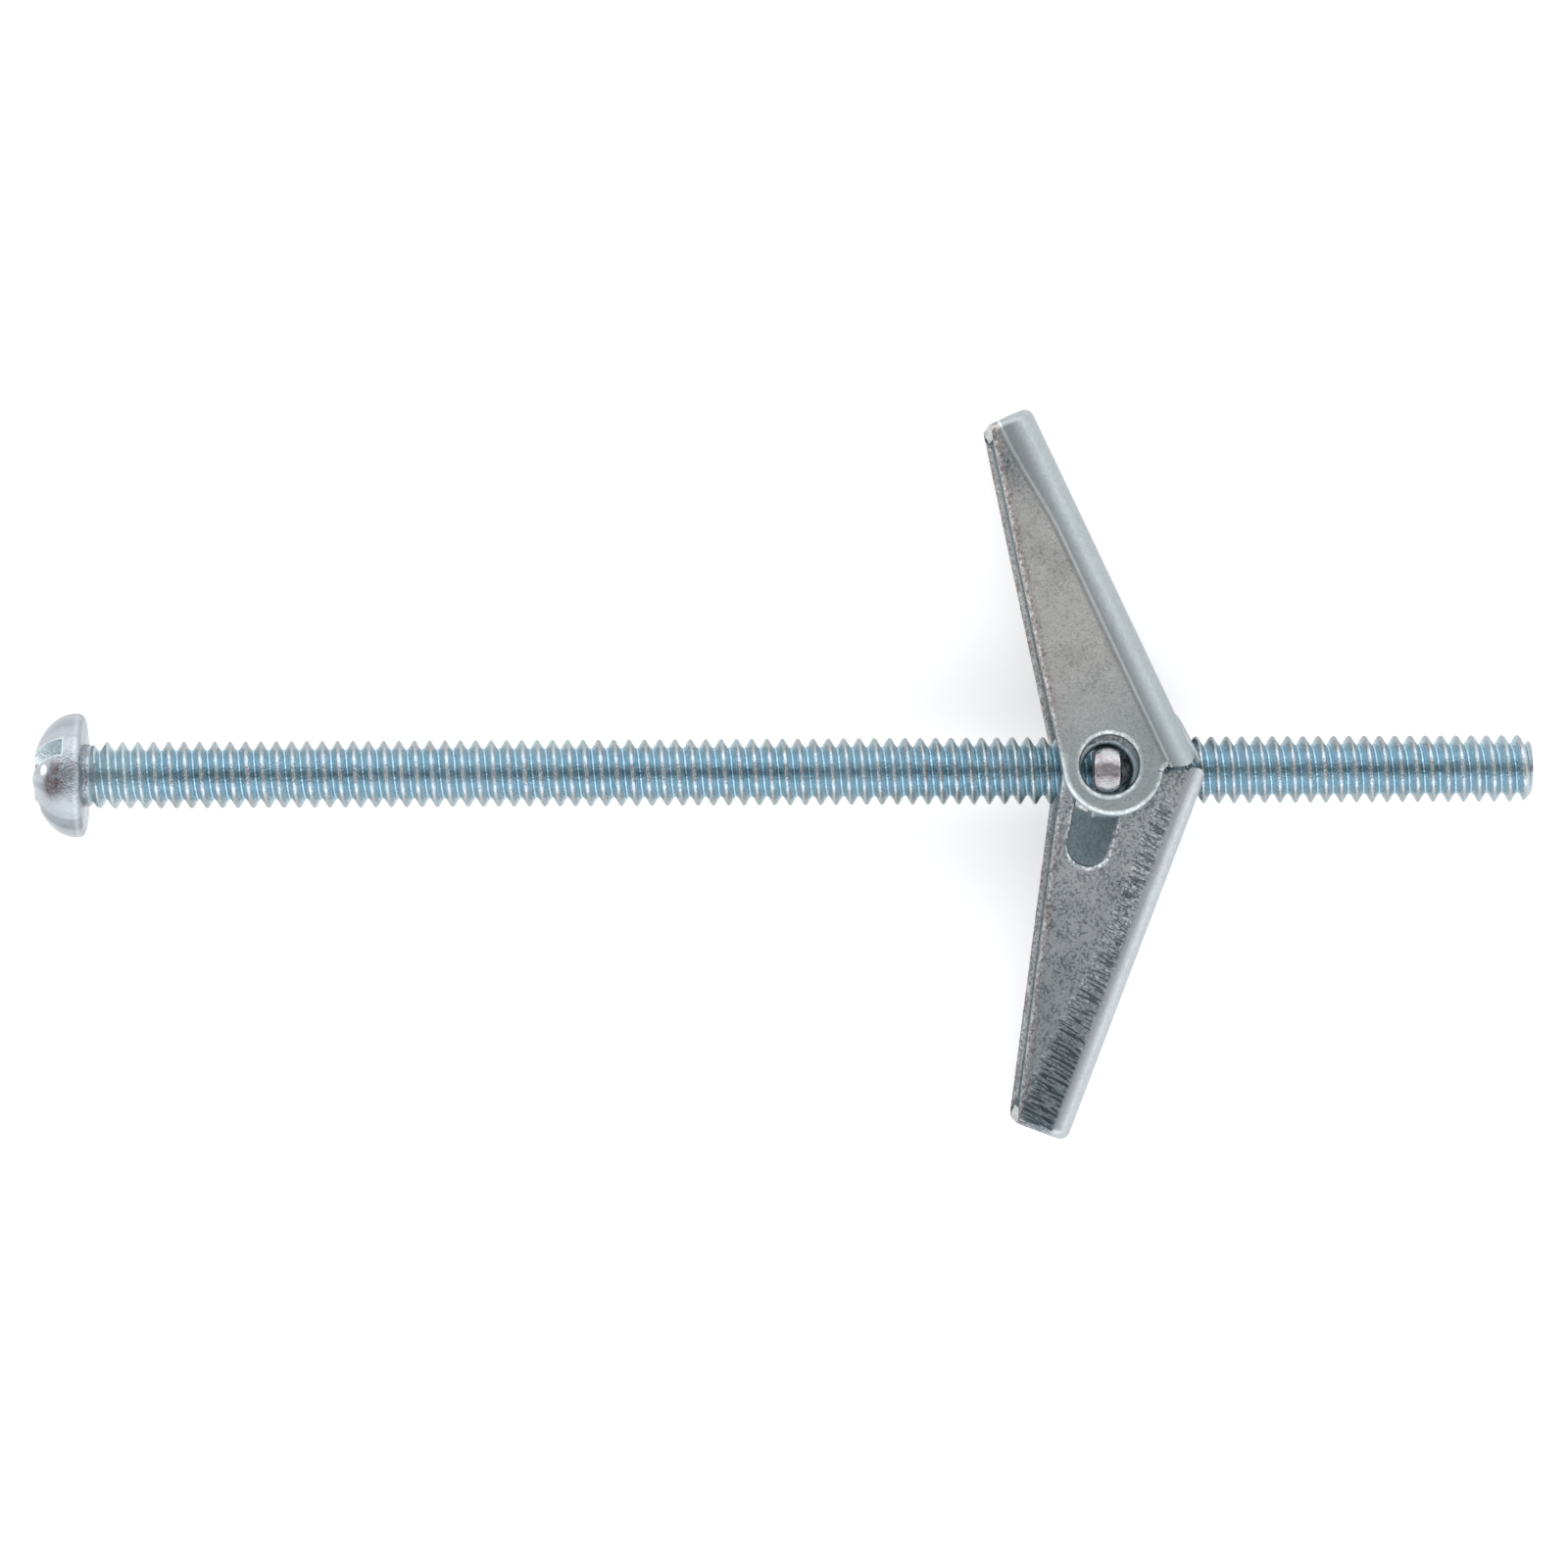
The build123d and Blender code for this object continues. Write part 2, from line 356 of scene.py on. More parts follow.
@dataclass(frozen=True)
class ThreadedZinc:
    """Bright blue zinc on the screw: bluer down in the thread, greyer on its crests and on the head, with
    painted highlights and painted dark reflections.
    """

    deep: Color = (0.27, 0.41, 0.49)
    flank: Color = (0.44, 0.56, 0.61)
    crest: Color = (0.29, 0.285, 0.275)
    # The next colour is a painted highlight on the crests.
    crest_highlight: Color = (0.50, 0.56, 0.63)
    line: Color = (0.66, 0.80, 0.88)
    # slate is painted as a dark reflection along the thread's top.
    slate: Color = (0.19, 0.26, 0.31)
    pale: Color = (0.48, 0.55, 0.57)
    # The next colour is a painted reflection in the slot.
    slot_reflection: Color = (0.86, 0.96, 0.98)
    dome: Color = (0.37, 0.385, 0.41)
    spoke: Color = (0.17, 0.18, 0.195)
    # brown is painted as dark reflections on the head.
    brown: Color = (0.10, 0.07, 0.07)
    # The next colour is a painted highlight on the head.
    painted_glint: Color = (0.95, 0.97, 0.97)
    lines_per_turn: int = 6
    # Painted reflections on the head: two dark brown spots and two glints.
    marks: tuple[PaintedSpot, ...] = (
        PaintedSpot(brown, (-1.9, -0.65, 3.75), 0.5, 1.35),
        PaintedSpot(brown, (-1.75, 0.45, 3.9), 0.1, 0.75, 0.8),
        PaintedSpot(painted_glint, (-2.55, 0.35, 3.3), 0.15, 0.5),
        PaintedSpot(painted_glint, (-3.1, -2.0, 1.3), 0.15, 0.5),
    )

    def material(self, screw: "Screw") -> Material:
        """Makes the screw's material.

        Args:
            screw: the screw, for its sizes.
        Returns:
            The material.
        """
        surface = Surface("screw_zinc")
        x, y, z = (part / MM for part in surface.split(surface.places))
        cloud = surface.rise(surface.noise(surface.places, 160.0, 3.0), 0.38, 0.62)
        grain = surface.noise(surface.places, 6500.0, 2.0, 4.0)
        streak = surface.noise(surface.places, 1700.0, 3.0, 9.0)
        speck = surface.rise(grain * 0.6 + streak * 0.4, 0.40, 0.62)
        skin = ScrewSkin(surface, screw, x, y, z, grain, streak, speck)
        on_head = surface.rise(x, 0.5, 0.2)
        color = surface.blend(on_head, self.thread(skin), self.head(skin))
        run_in = surface.rise(x, 6.5, 1.5) * (1.0 - on_head)
        color = surface.blend(run_in * (0.35 + 0.3 * streak), color, self.pale)
        color = surface.blend(speck * 0.5 * (1.0 - on_head * 0.5), color, self.deep)
        color = surface.blend(cloud * 0.25 * (1.0 - on_head), color, self.flank)
        roughness = 0.15 + 0.14 * grain + 0.08 * cloud
        return surface.metal(color, roughness, surface.bump(grain * 0.5 + streak * 0.5, 0.14))

    def thread(self, skin: ScrewSkin) -> Socket:
        """Colours the thread, from its blue root with fine lines to its grey crest, with a painted dark
        reflection along its top, painted highlights on its crests and painted reflections greying its sides.

        Args:
            skin: the screw's coordinates and noise.
        Returns:
            The thread's colour.
        """
        surface, screw = skin.surface, skin.screw
        radius = (skin.y * skin.y + skin.z * skin.z) ** 0.5
        root, crest, depth = screw.root_radius(), screw.crest_radius, screw.depth
        low = surface.rise(radius, root + 0.05 * depth, root + 0.75 * depth)
        high = surface.rise(radius, crest - 0.5 * depth, crest - 0.1 * depth)
        color = surface.blend(low, self.deep, self.flank)

        turns = skin.y.maths("ARCTAN2", skin.z) * (1.0 / (2.0 * pi))
        helix = (skin.x / screw.pitch + turns) * (2.0 * pi * self.lines_per_turn)
        lines = surface.rise(helix.maths("COSINE") + (skin.streak - 0.5) * 1.2, 0.1, 0.9) * (1.0 - low)
        color = surface.blend(lines * 0.6, color, self.line)

        off_top = abs(skin.y) / radius
        # Painted dark reflection: the thread is painted slate along its top, where it faces straight up.
        between = surface.near(off_top + (skin.streak - 0.5) * 0.14, 0.0, 0.2) * (1.0 - high)
        color = surface.blend(between * (0.25 + 0.5 * skin.speck), color, self.slate)
        # Painted highlight: the crests are painted lighter in two rows either side of the top.
        highlight_oval = surface.near(off_top + (skin.grain - 0.5) * 0.3, 0.42, 0.28)
        color = surface.blend(high, color, surface.blend(highlight_oval, self.crest, self.crest_highlight))
        # Painted reflection: the thread is painted greyer towards its sides.
        side_reflection = surface.rise(off_top, 0.72, 0.95) * surface.rise(low, 0.3, 0.9)
        color = surface.blend(side_reflection * 0.7, color, self.crest)
        at_end = surface.rise(skin.x, screw.length - 0.45, screw.length - 0.2)
        return surface.blend(at_end * 0.8, color, self.crest)

    def head(self, skin: ScrewSkin) -> Socket:
        """Colours the head: darker spokes on its dome, painted dark reflections and painted highlights, and a
        painted reflection in the slot.

        Args:
            skin: the screw's coordinates and noise.
        Returns:
            The head's colour.
        """
        surface, screw = skin.surface, skin.screw
        round_axis = skin.y.maths("ARCTAN2", skin.z)
        spokes = surface.noise(surface.join(skin.x * 0.12, round_axis * 2.6), 1.0, 3.0, 2.0)
        color = surface.blend(surface.rise(spokes, 0.42, 0.66) * 0.8, self.dome, self.spoke)
        for mark in self.marks:
            color = surface.mark(mark, skin.streak, color)
        # Painted highlight: a faint bright ring is painted round the head near its rim.
        color = surface.blend(surface.near(skin.x, -0.35, 0.25) * 0.15, color, self.painted_glint)

        # Painted reflection: the slot's faces are painted bright pale teal, partly mixed with the dome's
        # colour.
        angle, half, floor = radians(screw.slot_angle), screw.slot_width / 2, screw.top() + screw.slot_depth
        across = skin.y * cos(angle) - skin.z * sin(angle)
        in_slot = surface.rise(abs(across), half + 0.06, half + 0.02)
        in_slot = in_slot * surface.rise(skin.x, floor + 0.06, floor + 0.02)
        return surface.blend(in_slot, color, surface.blend(skin.streak * 0.5, self.slot_reflection, self.dome))


@dataclass(frozen=True)
class WingSkin:
    """What a wing's marks are made from: its sizes, its own coordinates in millimetres and shared masks."""

    surface: Surface
    wing: "Wing"
    along: Socket
    u: Value
    v: Value
    z: Value
    outer: Value
    grain: Value
    fine: Value
    mottle: Value
    off_bend: Value
    band: Value
    groove_and_shade: Value

    def off(self, center: Point) -> Value:
        """Returns the distance from a point, as seen from the wing's side."""
        return ((self.u - center[0]) ** 2.0 + (self.v - center[1]) ** 2.0) ** 0.5


@dataclass(frozen=True)
class WingZinc:
    """Satin zinc on folded sheet, with the marks that the folding left beside each bend, and painted light,
    painted shade and painted highlights in its hole, folds and channel.
    """

    face: Color
    dark: Color
    mottle: float
    band: Color
    stroke: Color = (0.045, 0.06, 0.07)
    ear: Color = (0.25, 0.33, 0.36)
    # The next colour is a painted reflection on the hole's wall.
    hole_reflection: Color = (0.36, 0.47, 0.49)
    # The next colour is a painted highlight on the ear's rim and along the fold.
    painted_highlight: Color = (0.80, 0.88, 0.89)
    # The next colour is painted light inside the channel.
    inner: Color = (0.68, 0.86, 0.90)
    # brown colours the spots along the open edge, and is painted shade just inside it.
    brown: Color = (0.15, 0.11, 0.10)
    # slate darkens the inner flange and the strip beside its fold towards the tip, and is painted shade on
    # the outer flange near the tip.
    slate: Color = (0.09, 0.12, 0.14)
    rosy: Color = (0.32, 0.31, 0.34)
    greenish: Color = (0.27, 0.34, 0.34)

    def material(self, wing: "Wing") -> Material:
        """Makes a wing's material.

        Args:
            wing: the wing, for its sizes and its place.
        Returns:
            The material.
        """
        surface = Surface(f"{wing.name()}_zinc")
        skin = self.skin(surface, wing)
        color = self.plating(skin)
        color = self.ear_marks(skin, color)
        color = self.fold_marks(skin, color)
        color = self.mouth_marks(skin, color)

        tipward = surface.rise(skin.u, 8.0, wing.reach - 2.0)
        beside = self.beside_fold(skin, tipward)
        hatch = self.hatch_lines(skin) * beside * (0.6 + 0.4 * tipward) * surface.rise(skin.u, -0.5, 1.5)
        color = surface.blend(beside * tipward * 0.45, color, self.slate)
        color = surface.blend(hatch * 0.9, color, self.stroke)

        plain = 1.0 - 0.85 * skin.band
        roughness = 0.30 + 0.16 * skin.mottle * plain + 0.09 * skin.band
        height = (skin.mottle * 0.12 + skin.fine * 0.3) * plain - hatch - skin.groove_and_shade * 0.4
        return surface.metal(color, roughness, surface.bump(height, 0.04))

    def skin(self, surface: Surface, wing: "Wing") -> WingSkin:
        """Lays the wing's own coordinates over it, with the noise and masks that its marks share.

        Args:
            surface: the material that is being made.
            wing: the wing.
        Returns:
            All of them together.
        """
        mapping = surface.node(
            "ShaderNodeMapping",
            {"vector_type": "TEXTURE"},
            {
                "Vector": surface.places,
                "Location": wing.pivot,
                "Rotation": wing.turn(),
                "Scale": (MM, MM, MM),
            },
        )
        along = mapping.outputs["Vector"]
        u, v, z = surface.split(along)
        outer = surface.rise(z, 0.0, 0.5)
        grain = surface.noise(along, 5.6, 3.0, 1.0)
        fine = surface.noise(along, 14.0, 2.0, 2.0)
        mottle = surface.rise(grain * 0.7 + fine * 0.3, 0.42, 0.59)
        widening = surface.rise(u, wing.reach - 9.0, wing.reach - 1.0) * 0.55
        outer_line = (wing.outer_bend + widening) * outer
        inner_line = (wing.inner_bend - wing.web_slant) * (1.0 - outer)
        off_bend = v - (outer_line + inner_line - wing.web_offset)
        band = surface.rise(off_bend, 0.1, -0.3)
        groove_and_shade = surface.near(off_bend, 0.12, 0.26) * outer
        return WingSkin(surface, wing, along, u, v, z, outer, grain, fine, mottle, off_bend, band, groove_and_shade)

    def plating(self, skin: WingSkin) -> Socket:
        """Returns the plain sheet's mottled colour."""
        patch = skin.surface.rise(skin.surface.noise(skin.along, 0.5, 2.0, 3.0), 0.4, 0.7)
        return skin.surface.blend(skin.mottle * self.mottle + patch * 0.2, self.face, self.dark)

    def ear_marks(self, skin: WingSkin, color: Socket) -> Socket:
        """Adds the ear's tint, a painted teal reflection on the wall of its hole and a painted highlight
        along its rim.

        Args:
            skin: the wing's coordinates and masks.
            color: the colour so far.
        Returns:
            The colour with them.
        """
        surface, wing = skin.surface, skin.wing
        by_ear = surface.rise(skin.u, 8.0, -1.0) * skin.outer
        color = surface.blend(by_ear * 0.5, color, self.ear)
        off_hole = skin.off(wing.hole_center)
        # Painted reflection: the hole's wall is painted teal.
        hole_reflection = surface.rise(off_hole, wing.hole_radius + 0.03, wing.hole_radius - 0.02)
        color = surface.blend(hole_reflection, color, self.hole_reflection)
        # Painted highlight: the ear's rim is painted pale along its lower edge.
        rim = surface.rise(skin.off(wing.ear_center), wing.ear_radius - 0.42, wing.ear_radius - 0.12)
        rim = rim * skin.outer * surface.rise(skin.v, -1.6, -0.6) * surface.rise(skin.u, 2.8, 1.6)
        color = surface.blend(rim * 0.35, color, self.painted_highlight)
        under = surface.rise(off_hole, wing.hole_radius + 0.5, wing.hole_radius + 0.2) * (1.0 - skin.outer)
        return surface.blend(under * 0.8, color, self.ear)

    def fold_marks(self, skin: WingSkin, color: Socket) -> Socket:
        """Adds the fold's band with its faint rainbow, the groove beside it with painted shade in it, a
        painted highlight along the fold, and painted shade near the tip.

        Args:
            skin: the wing's coordinates and masks.
            color: the colour so far.
        Returns:
            The colour with them.
        """
        surface, reach = skin.surface, skin.wing.reach
        darker = surface.rise(skin.u, 5.0, reach) * (1.0 - skin.outer)
        color = surface.blend(darker * 0.4, color, self.slate)
        rainbow = surface.rise(surface.noise(skin.along, 0.8, 2.0, 5.0), 0.35, 0.65)
        tint = surface.blend(rainbow, self.rosy, self.greenish)
        color = surface.blend(skin.band * 0.85, color, surface.blend(0.25, self.band, tint))
        # Painted shade: the groove beside the fold is painted dark over its bump.
        color = surface.blend(skin.groove_and_shade * 0.55, color, self.dark)
        # Painted highlight: a thin pale line is painted along the fold's edge on the outer flange.
        painted_highlight = surface.near(skin.off_bend, -0.12, 0.16) * skin.outer * (0.5 + 0.5 * skin.grain)
        color = surface.blend(painted_highlight * 0.6, color, self.painted_highlight)
        # Painted shade: the outer flange beside the fold is painted darker near the tip.
        painted_tip_shade = surface.near(skin.u, reach - 3.0, 3.8) * surface.near(skin.off_bend, 0.7, 1.2) * skin.outer
        return surface.blend(painted_tip_shade * (0.4 + 0.6 * skin.mottle), color, self.slate)

    def mouth_marks(self, skin: WingSkin, color: Socket) -> Socket:
        """Adds the brown spots along the open edge, painted light inside the channel and brown painted shade
        just inside the open edge.

        Args:
            skin: the wing's coordinates and masks.
            color: the colour so far.
        Returns:
            The colour with them.
        """
        surface, wing, u, v, z = skin.surface, skin.wing, skin.u, skin.v, skin.z
        slope, start = wing.mouth_line()
        off_mouth = u * slope + start - v
        spot = surface.rise(skin.fine * 0.5 + skin.grain * 0.5, 0.45, 0.56)
        border = surface.rise(off_mouth, 0.75, 0.15) * surface.rise(u, 2.0, 6.0) * (0.25 + 0.75 * spot)
        color = surface.blend(border * 0.75, color, self.brown)

        middle = (wing.outer_face - wing.inner_face) / 2
        half_room = (wing.outer_face + wing.inner_face) / 2 - wing.sheet
        web = (z - middle - half_room) * (wing.web_slant / (2 * half_room)) - wing.web_offset
        inside = surface.rise(abs(z - middle), half_room + 0.1, half_room - 0.1)
        inside = inside * surface.rise(v - web, 0.5, 0.8)
        inside = inside * surface.rise(u, wing.reach - 0.3, wing.reach - 0.6)
        # Painted light: the channel's inside is painted a pale teal.
        color = surface.blend(inside * 0.7, color, self.inner)
        # Painted shade: just inside the open edge the channel is painted brown, broken by spots.
        mouth_shade = inside * surface.rise(off_mouth, 1.5, 0.5)
        return surface.blend(mouth_shade * (0.35 + 0.5 * spot), color, self.brown)

    def beside_fold(self, skin: WingSkin, tipward: Value) -> Value:
        """Masks the strip that the folding marked, on the inner flange.

        Args:
            skin: the wing's coordinates and masks.
            tipward: 0 near the ear and 1 near the tip, where the strip is wider.
        Returns:
            The mask, with a ragged edge.
        """
        surface, level = skin.surface, skin.wing.inner_face
        ragged = surface.noise(skin.along, 1.3, 2.0, 7.0)
        width = 0.7 + 1.5 * ragged + tipward * 1.3
        strip = surface.rise(skin.off_bend, -0.12, 0.1) * surface.rise(skin.off_bend / width, 1.0, 0.7)
        return strip * surface.rise(skin.z, 0.25 - level, 0.1 - level)

    def hatch_lines(self, skin: WingSkin) -> Value:
        """Draws fine lines across the fold.

        Args:
            skin: the wing's coordinates and masks.
        Returns:
            The lines' mask.
        """
        stretched = skin.surface.join(skin.u * 5.2 + skin.v * 0.7, skin.v * 0.55)
        comb = skin.surface.node(
            "ShaderNodeTexNoise",
            {"noise_dimensions": "2D"},
            {"Vector": stretched, "Scale": 1.0, "Detail": 2.0},
        )
        return skin.surface.rise(skin.surface.value(comb.outputs["Fac"]), 0.54, 0.45)


@dataclass(frozen=True)
class NutZinc:
    """Bright zinc on the stamped nut, with rippled arm ends that carry a rosy painted reflection across their
    middle.
    """

    base: Color = (0.31, 0.32, 0.33)
    shade: Color = (0.26, 0.22, 0.23)
    # The next colour is a painted reflection across the arm ends.
    rosy: Color = (0.47, 0.44, 0.47)
    plate: Color = (0.34, 0.38, 0.40)
    arm_level: float = 5.0

    def material(self) -> Material:
        """Makes the nut's material.

        Returns:
            The material.
        """
        surface = Surface("nut_zinc")
        _, y, z = (part / MM for part in surface.split(surface.places))
        ripple = surface.noise(surface.places, 1100.0, 3.0, 2.0)
        grain = surface.noise(surface.places, 6000.0, 2.0, 5.0)
        color = surface.blend(surface.rise(ripple, 0.44, 0.62) * 0.8, self.base, self.shade)
        # Painted reflection: a rosy band is painted across the middle of each arm end.
        middle = surface.rise(abs(y - 0.1) + (ripple - 0.5) * 0.9, 0.95, 0.35)
        color = surface.blend(middle * 0.85, color, self.rosy)
        color = surface.blend(surface.rise(abs(z), self.arm_level, self.arm_level - 1.0), color, self.plate)
        return surface.metal(color, 0.18 + 0.2 * grain, surface.bump(ripple * 0.8 + grain * 0.2, 0.11))


@dataclass(frozen=True)
class SpringWire:
    """Drawn steel wire with a fine grain and a thin oxide."""

    base: Color = (0.46, 0.45, 0.44)
    oxide: Color = (0.24, 0.24, 0.26)

    def material(self) -> Material:
        """Makes the spring's material.

        Returns:
            The material.
        """
        surface = Surface("spring_steel")
        oxide = surface.noise(surface.places, 700.0, 3.0, 1.0)
        grain = surface.noise(surface.places, 7000.0, 2.0, 6.0)
        color = surface.blend(surface.rise(oxide, 0.42, 0.68), self.base, self.oxide)
        return surface.metal(color, 0.24 + 0.18 * grain, surface.bump(grain, 0.01))


@dataclass(frozen=True)
class PaleFloor:
    """Matt white board under the part, with a faint glow of its own."""

    base: Color = (0.97, 0.97, 0.97)
    tooth: Color = (0.955, 0.955, 0.96)
    roughness: float = 0.9
    white: Color = (1.0, 1.0, 1.0)
    glow: float = 0.22

    def material(self) -> Material:
        """Makes the floor's material.

        Returns:
            The material.
        """
        surface = Surface("pale_floor")
        color = surface.blend(surface.noise(surface.places, 2500.0, 2.0), self.base, self.tooth)
        return surface.close({
            "Base Color": color,
            "Roughness": self.roughness,
            "Emission Color": (*self.white, 1.0),
            "Emission Strength": self.glow,
        })


# Mesh building


def make_object(bm: Mesh, name: str, material: Material, flat: float = 30.0) -> Piece:
    """Turns a mesh in millimetres into an object in metres.

    Args:
        bm: the mesh, which is freed.
        name: the object's name.
        material: its finish.
        flat: the angle in degrees above which an edge stays sharp.
    Returns:
        The object, at the origin, unturned and unscaled.
    """
    bmesh.ops.remove_doubles(bm, verts=bm.verts, dist=SAME)
    bmesh.ops.recalc_face_normals(bm, faces=bm.faces)
    bmesh.ops.scale(bm, vec=(MM, MM, MM), verts=bm.verts)
    mesh = bpy.data.meshes.new(name)
    for face in bm.faces:
        face.smooth = True
    bm.to_mesh(mesh)
    bm.free()
    mesh.set_sharp_from_angle(angle=radians(flat))
    mesh.materials.append(material)
    made = bpy.data.objects.new(name, mesh)
    bpy.context.scene.collection.objects.link(made)
    return made


def make_cutter(bm: Mesh, name: str) -> Piece:
    """Turns a mesh in millimetres into a shape that is cut away."""
    return make_object(bm, name, bpy.data.materials.new(name))


def add_bevel(piece: Piece, width: float, segments: int, limit: float = 0.0) -> None:
    """Rounds a piece's edges.

    Args:
        piece: the piece.
        width: the rounding in millimetres.
        segments: faces across the rounding.
        limit: the least angle in degrees between the faces of a rounded edge, or 0 to round the marked edges.
    """
    bevel = piece.modifiers.new("edge_round", "BEVEL")
    bevel.width = width * MM
    bevel.segments = segments
    bevel.limit_method = "ANGLE" if limit else "WEIGHT"
    bevel.angle_limit = radians(limit)
    bevel.use_clamp_overlap = bool(limit)
    bevel.miter_outer = "MITER_ARC"
    weighted = piece.modifiers.new("even_light", "WEIGHTED_NORMAL")
    weighted.keep_sharp = True


def round_edges(bm: Mesh, edges: list[Edge], radius: float, segments: int) -> None:
    """Rounds edges of a mesh.

    Args:
        bm: the mesh.
        edges: the edges to round.
        radius: how far the rounding starts from them.
        segments: faces across the rounding.
    """
    bmesh.ops.bevel(
        bm, geom=edges, offset=radius, offset_type="OFFSET", segments=segments, profile=0.5, affect="EDGES",
        material=-1, clamp_overlap=False,
    )


def chain(bm: Mesh, points: list[Vector], close: bool = True) -> list[Edge]:
    """Adds a line of edges through points.

    Args:
        bm: the mesh.
        points: where it goes.
        close: whether it joins its start.
    Returns:
        The new edges.
    """
    verts = [bm.verts.new(point) for point in points]
    pairs = list(zip(verts, verts[1:]))
    if close:
        pairs.append((verts[-1], verts[0]))
    return [bm.edges.new(pair) for pair in pairs]


def verts_of(edges: list[Edge]) -> list[Vert]:
    """Returns the vertices of edges, each once and in order."""
    return list(dict.fromkeys(vert for edge in edges for vert in edge.verts))


def arc(center: Point, radius: float, start: float, end: float, steps: int) -> list[Point]:
    """Returns points along an arc, both ends included; angles are in degrees."""
    turns = [radians(start + (end - start) * step / steps) for step in range(steps + 1)]
    return [(center[0] + radius * cos(turn), center[1] + radius * sin(turn)) for turn in turns]


def move_new(bm: Mesh, made: dict, way: Vector) -> list[Vert]:
    """Moves the vertices that an operator made.

    Args:
        bm: the mesh.
        made: what the operator returned.
        way: how far they move.
    Returns:
        The moved vertices.
    """
    verts = [item for item in made["geom"] if isinstance(item, Vert)]
    bmesh.ops.translate(bm, vec=way, verts=verts)
    return verts


def prism(outline: list[Vector], way: Vector) -> Mesh:
    """Makes a closed prism.

    Args:
        outline: the corners of its base.
        way: the vector from its base to its top.
    Returns:
        The new mesh.
    """
    bm = bmesh.new()
    base = bm.faces.new([bm.verts.new(corner) for corner in outline])
    move_new(bm, bmesh.ops.extrude_face_region(bm, geom=[base]), way)
    return bm


def lathe(outline: list[Point], steps: int, close: bool = False, advance: float = 0.0) -> Mesh:
    """Turns an outline once round the X axis.

    Args:
        outline: its points, as places along X and radii.
        steps: faces round the axis.
        close: whether the outline joins its start.
        advance: how far it moves along X while it turns.
    Returns:
        The new mesh, whose end meets its start when it doesn't advance.
    """
    bm = bmesh.new()
    profile = chain(bm, [Vector((x, 0.0, radius)) for x, radius in outline], close)
    bmesh.ops.spin(
        bm, geom=[*verts_of(profile), *profile], cent=(0, 0, 0), axis=(1, 0, 0), dvec=(advance / steps, 0, 0),
        angle=2 * pi, steps=steps, use_merge=not advance,
    )
    return bm


def cut_away(piece: Piece, cutters: list[Piece], flat: float = 32.0) -> None:
    """Cuts closed shapes out of a piece and deletes them.

    Args:
        piece: the piece, whose mesh is replaced.
        cutters: the shapes to take away.
        flat: the angle in degrees above which an edge stays sharp.
    """
    for cutter in cutters:
        cut = piece.modifiers.new("cut", "BOOLEAN")
        cut.operation = "DIFFERENCE"
        cut.solver = "EXACT"
        cut.object = cutter
    bpy.context.view_layer.update()
    shown = piece.evaluated_get(bpy.context.evaluated_depsgraph_get())
    mesh = bpy.data.meshes.new_from_object(shown)
    piece.modifiers.clear()
    piece.data = mesh
    for cutter in cutters:
        bpy.data.objects.remove(cutter)
    for polygon in mesh.polygons:
        polygon.use_smooth = True
    mesh.set_sharp_from_angle(angle=radians(flat))


# Sub-assemblies


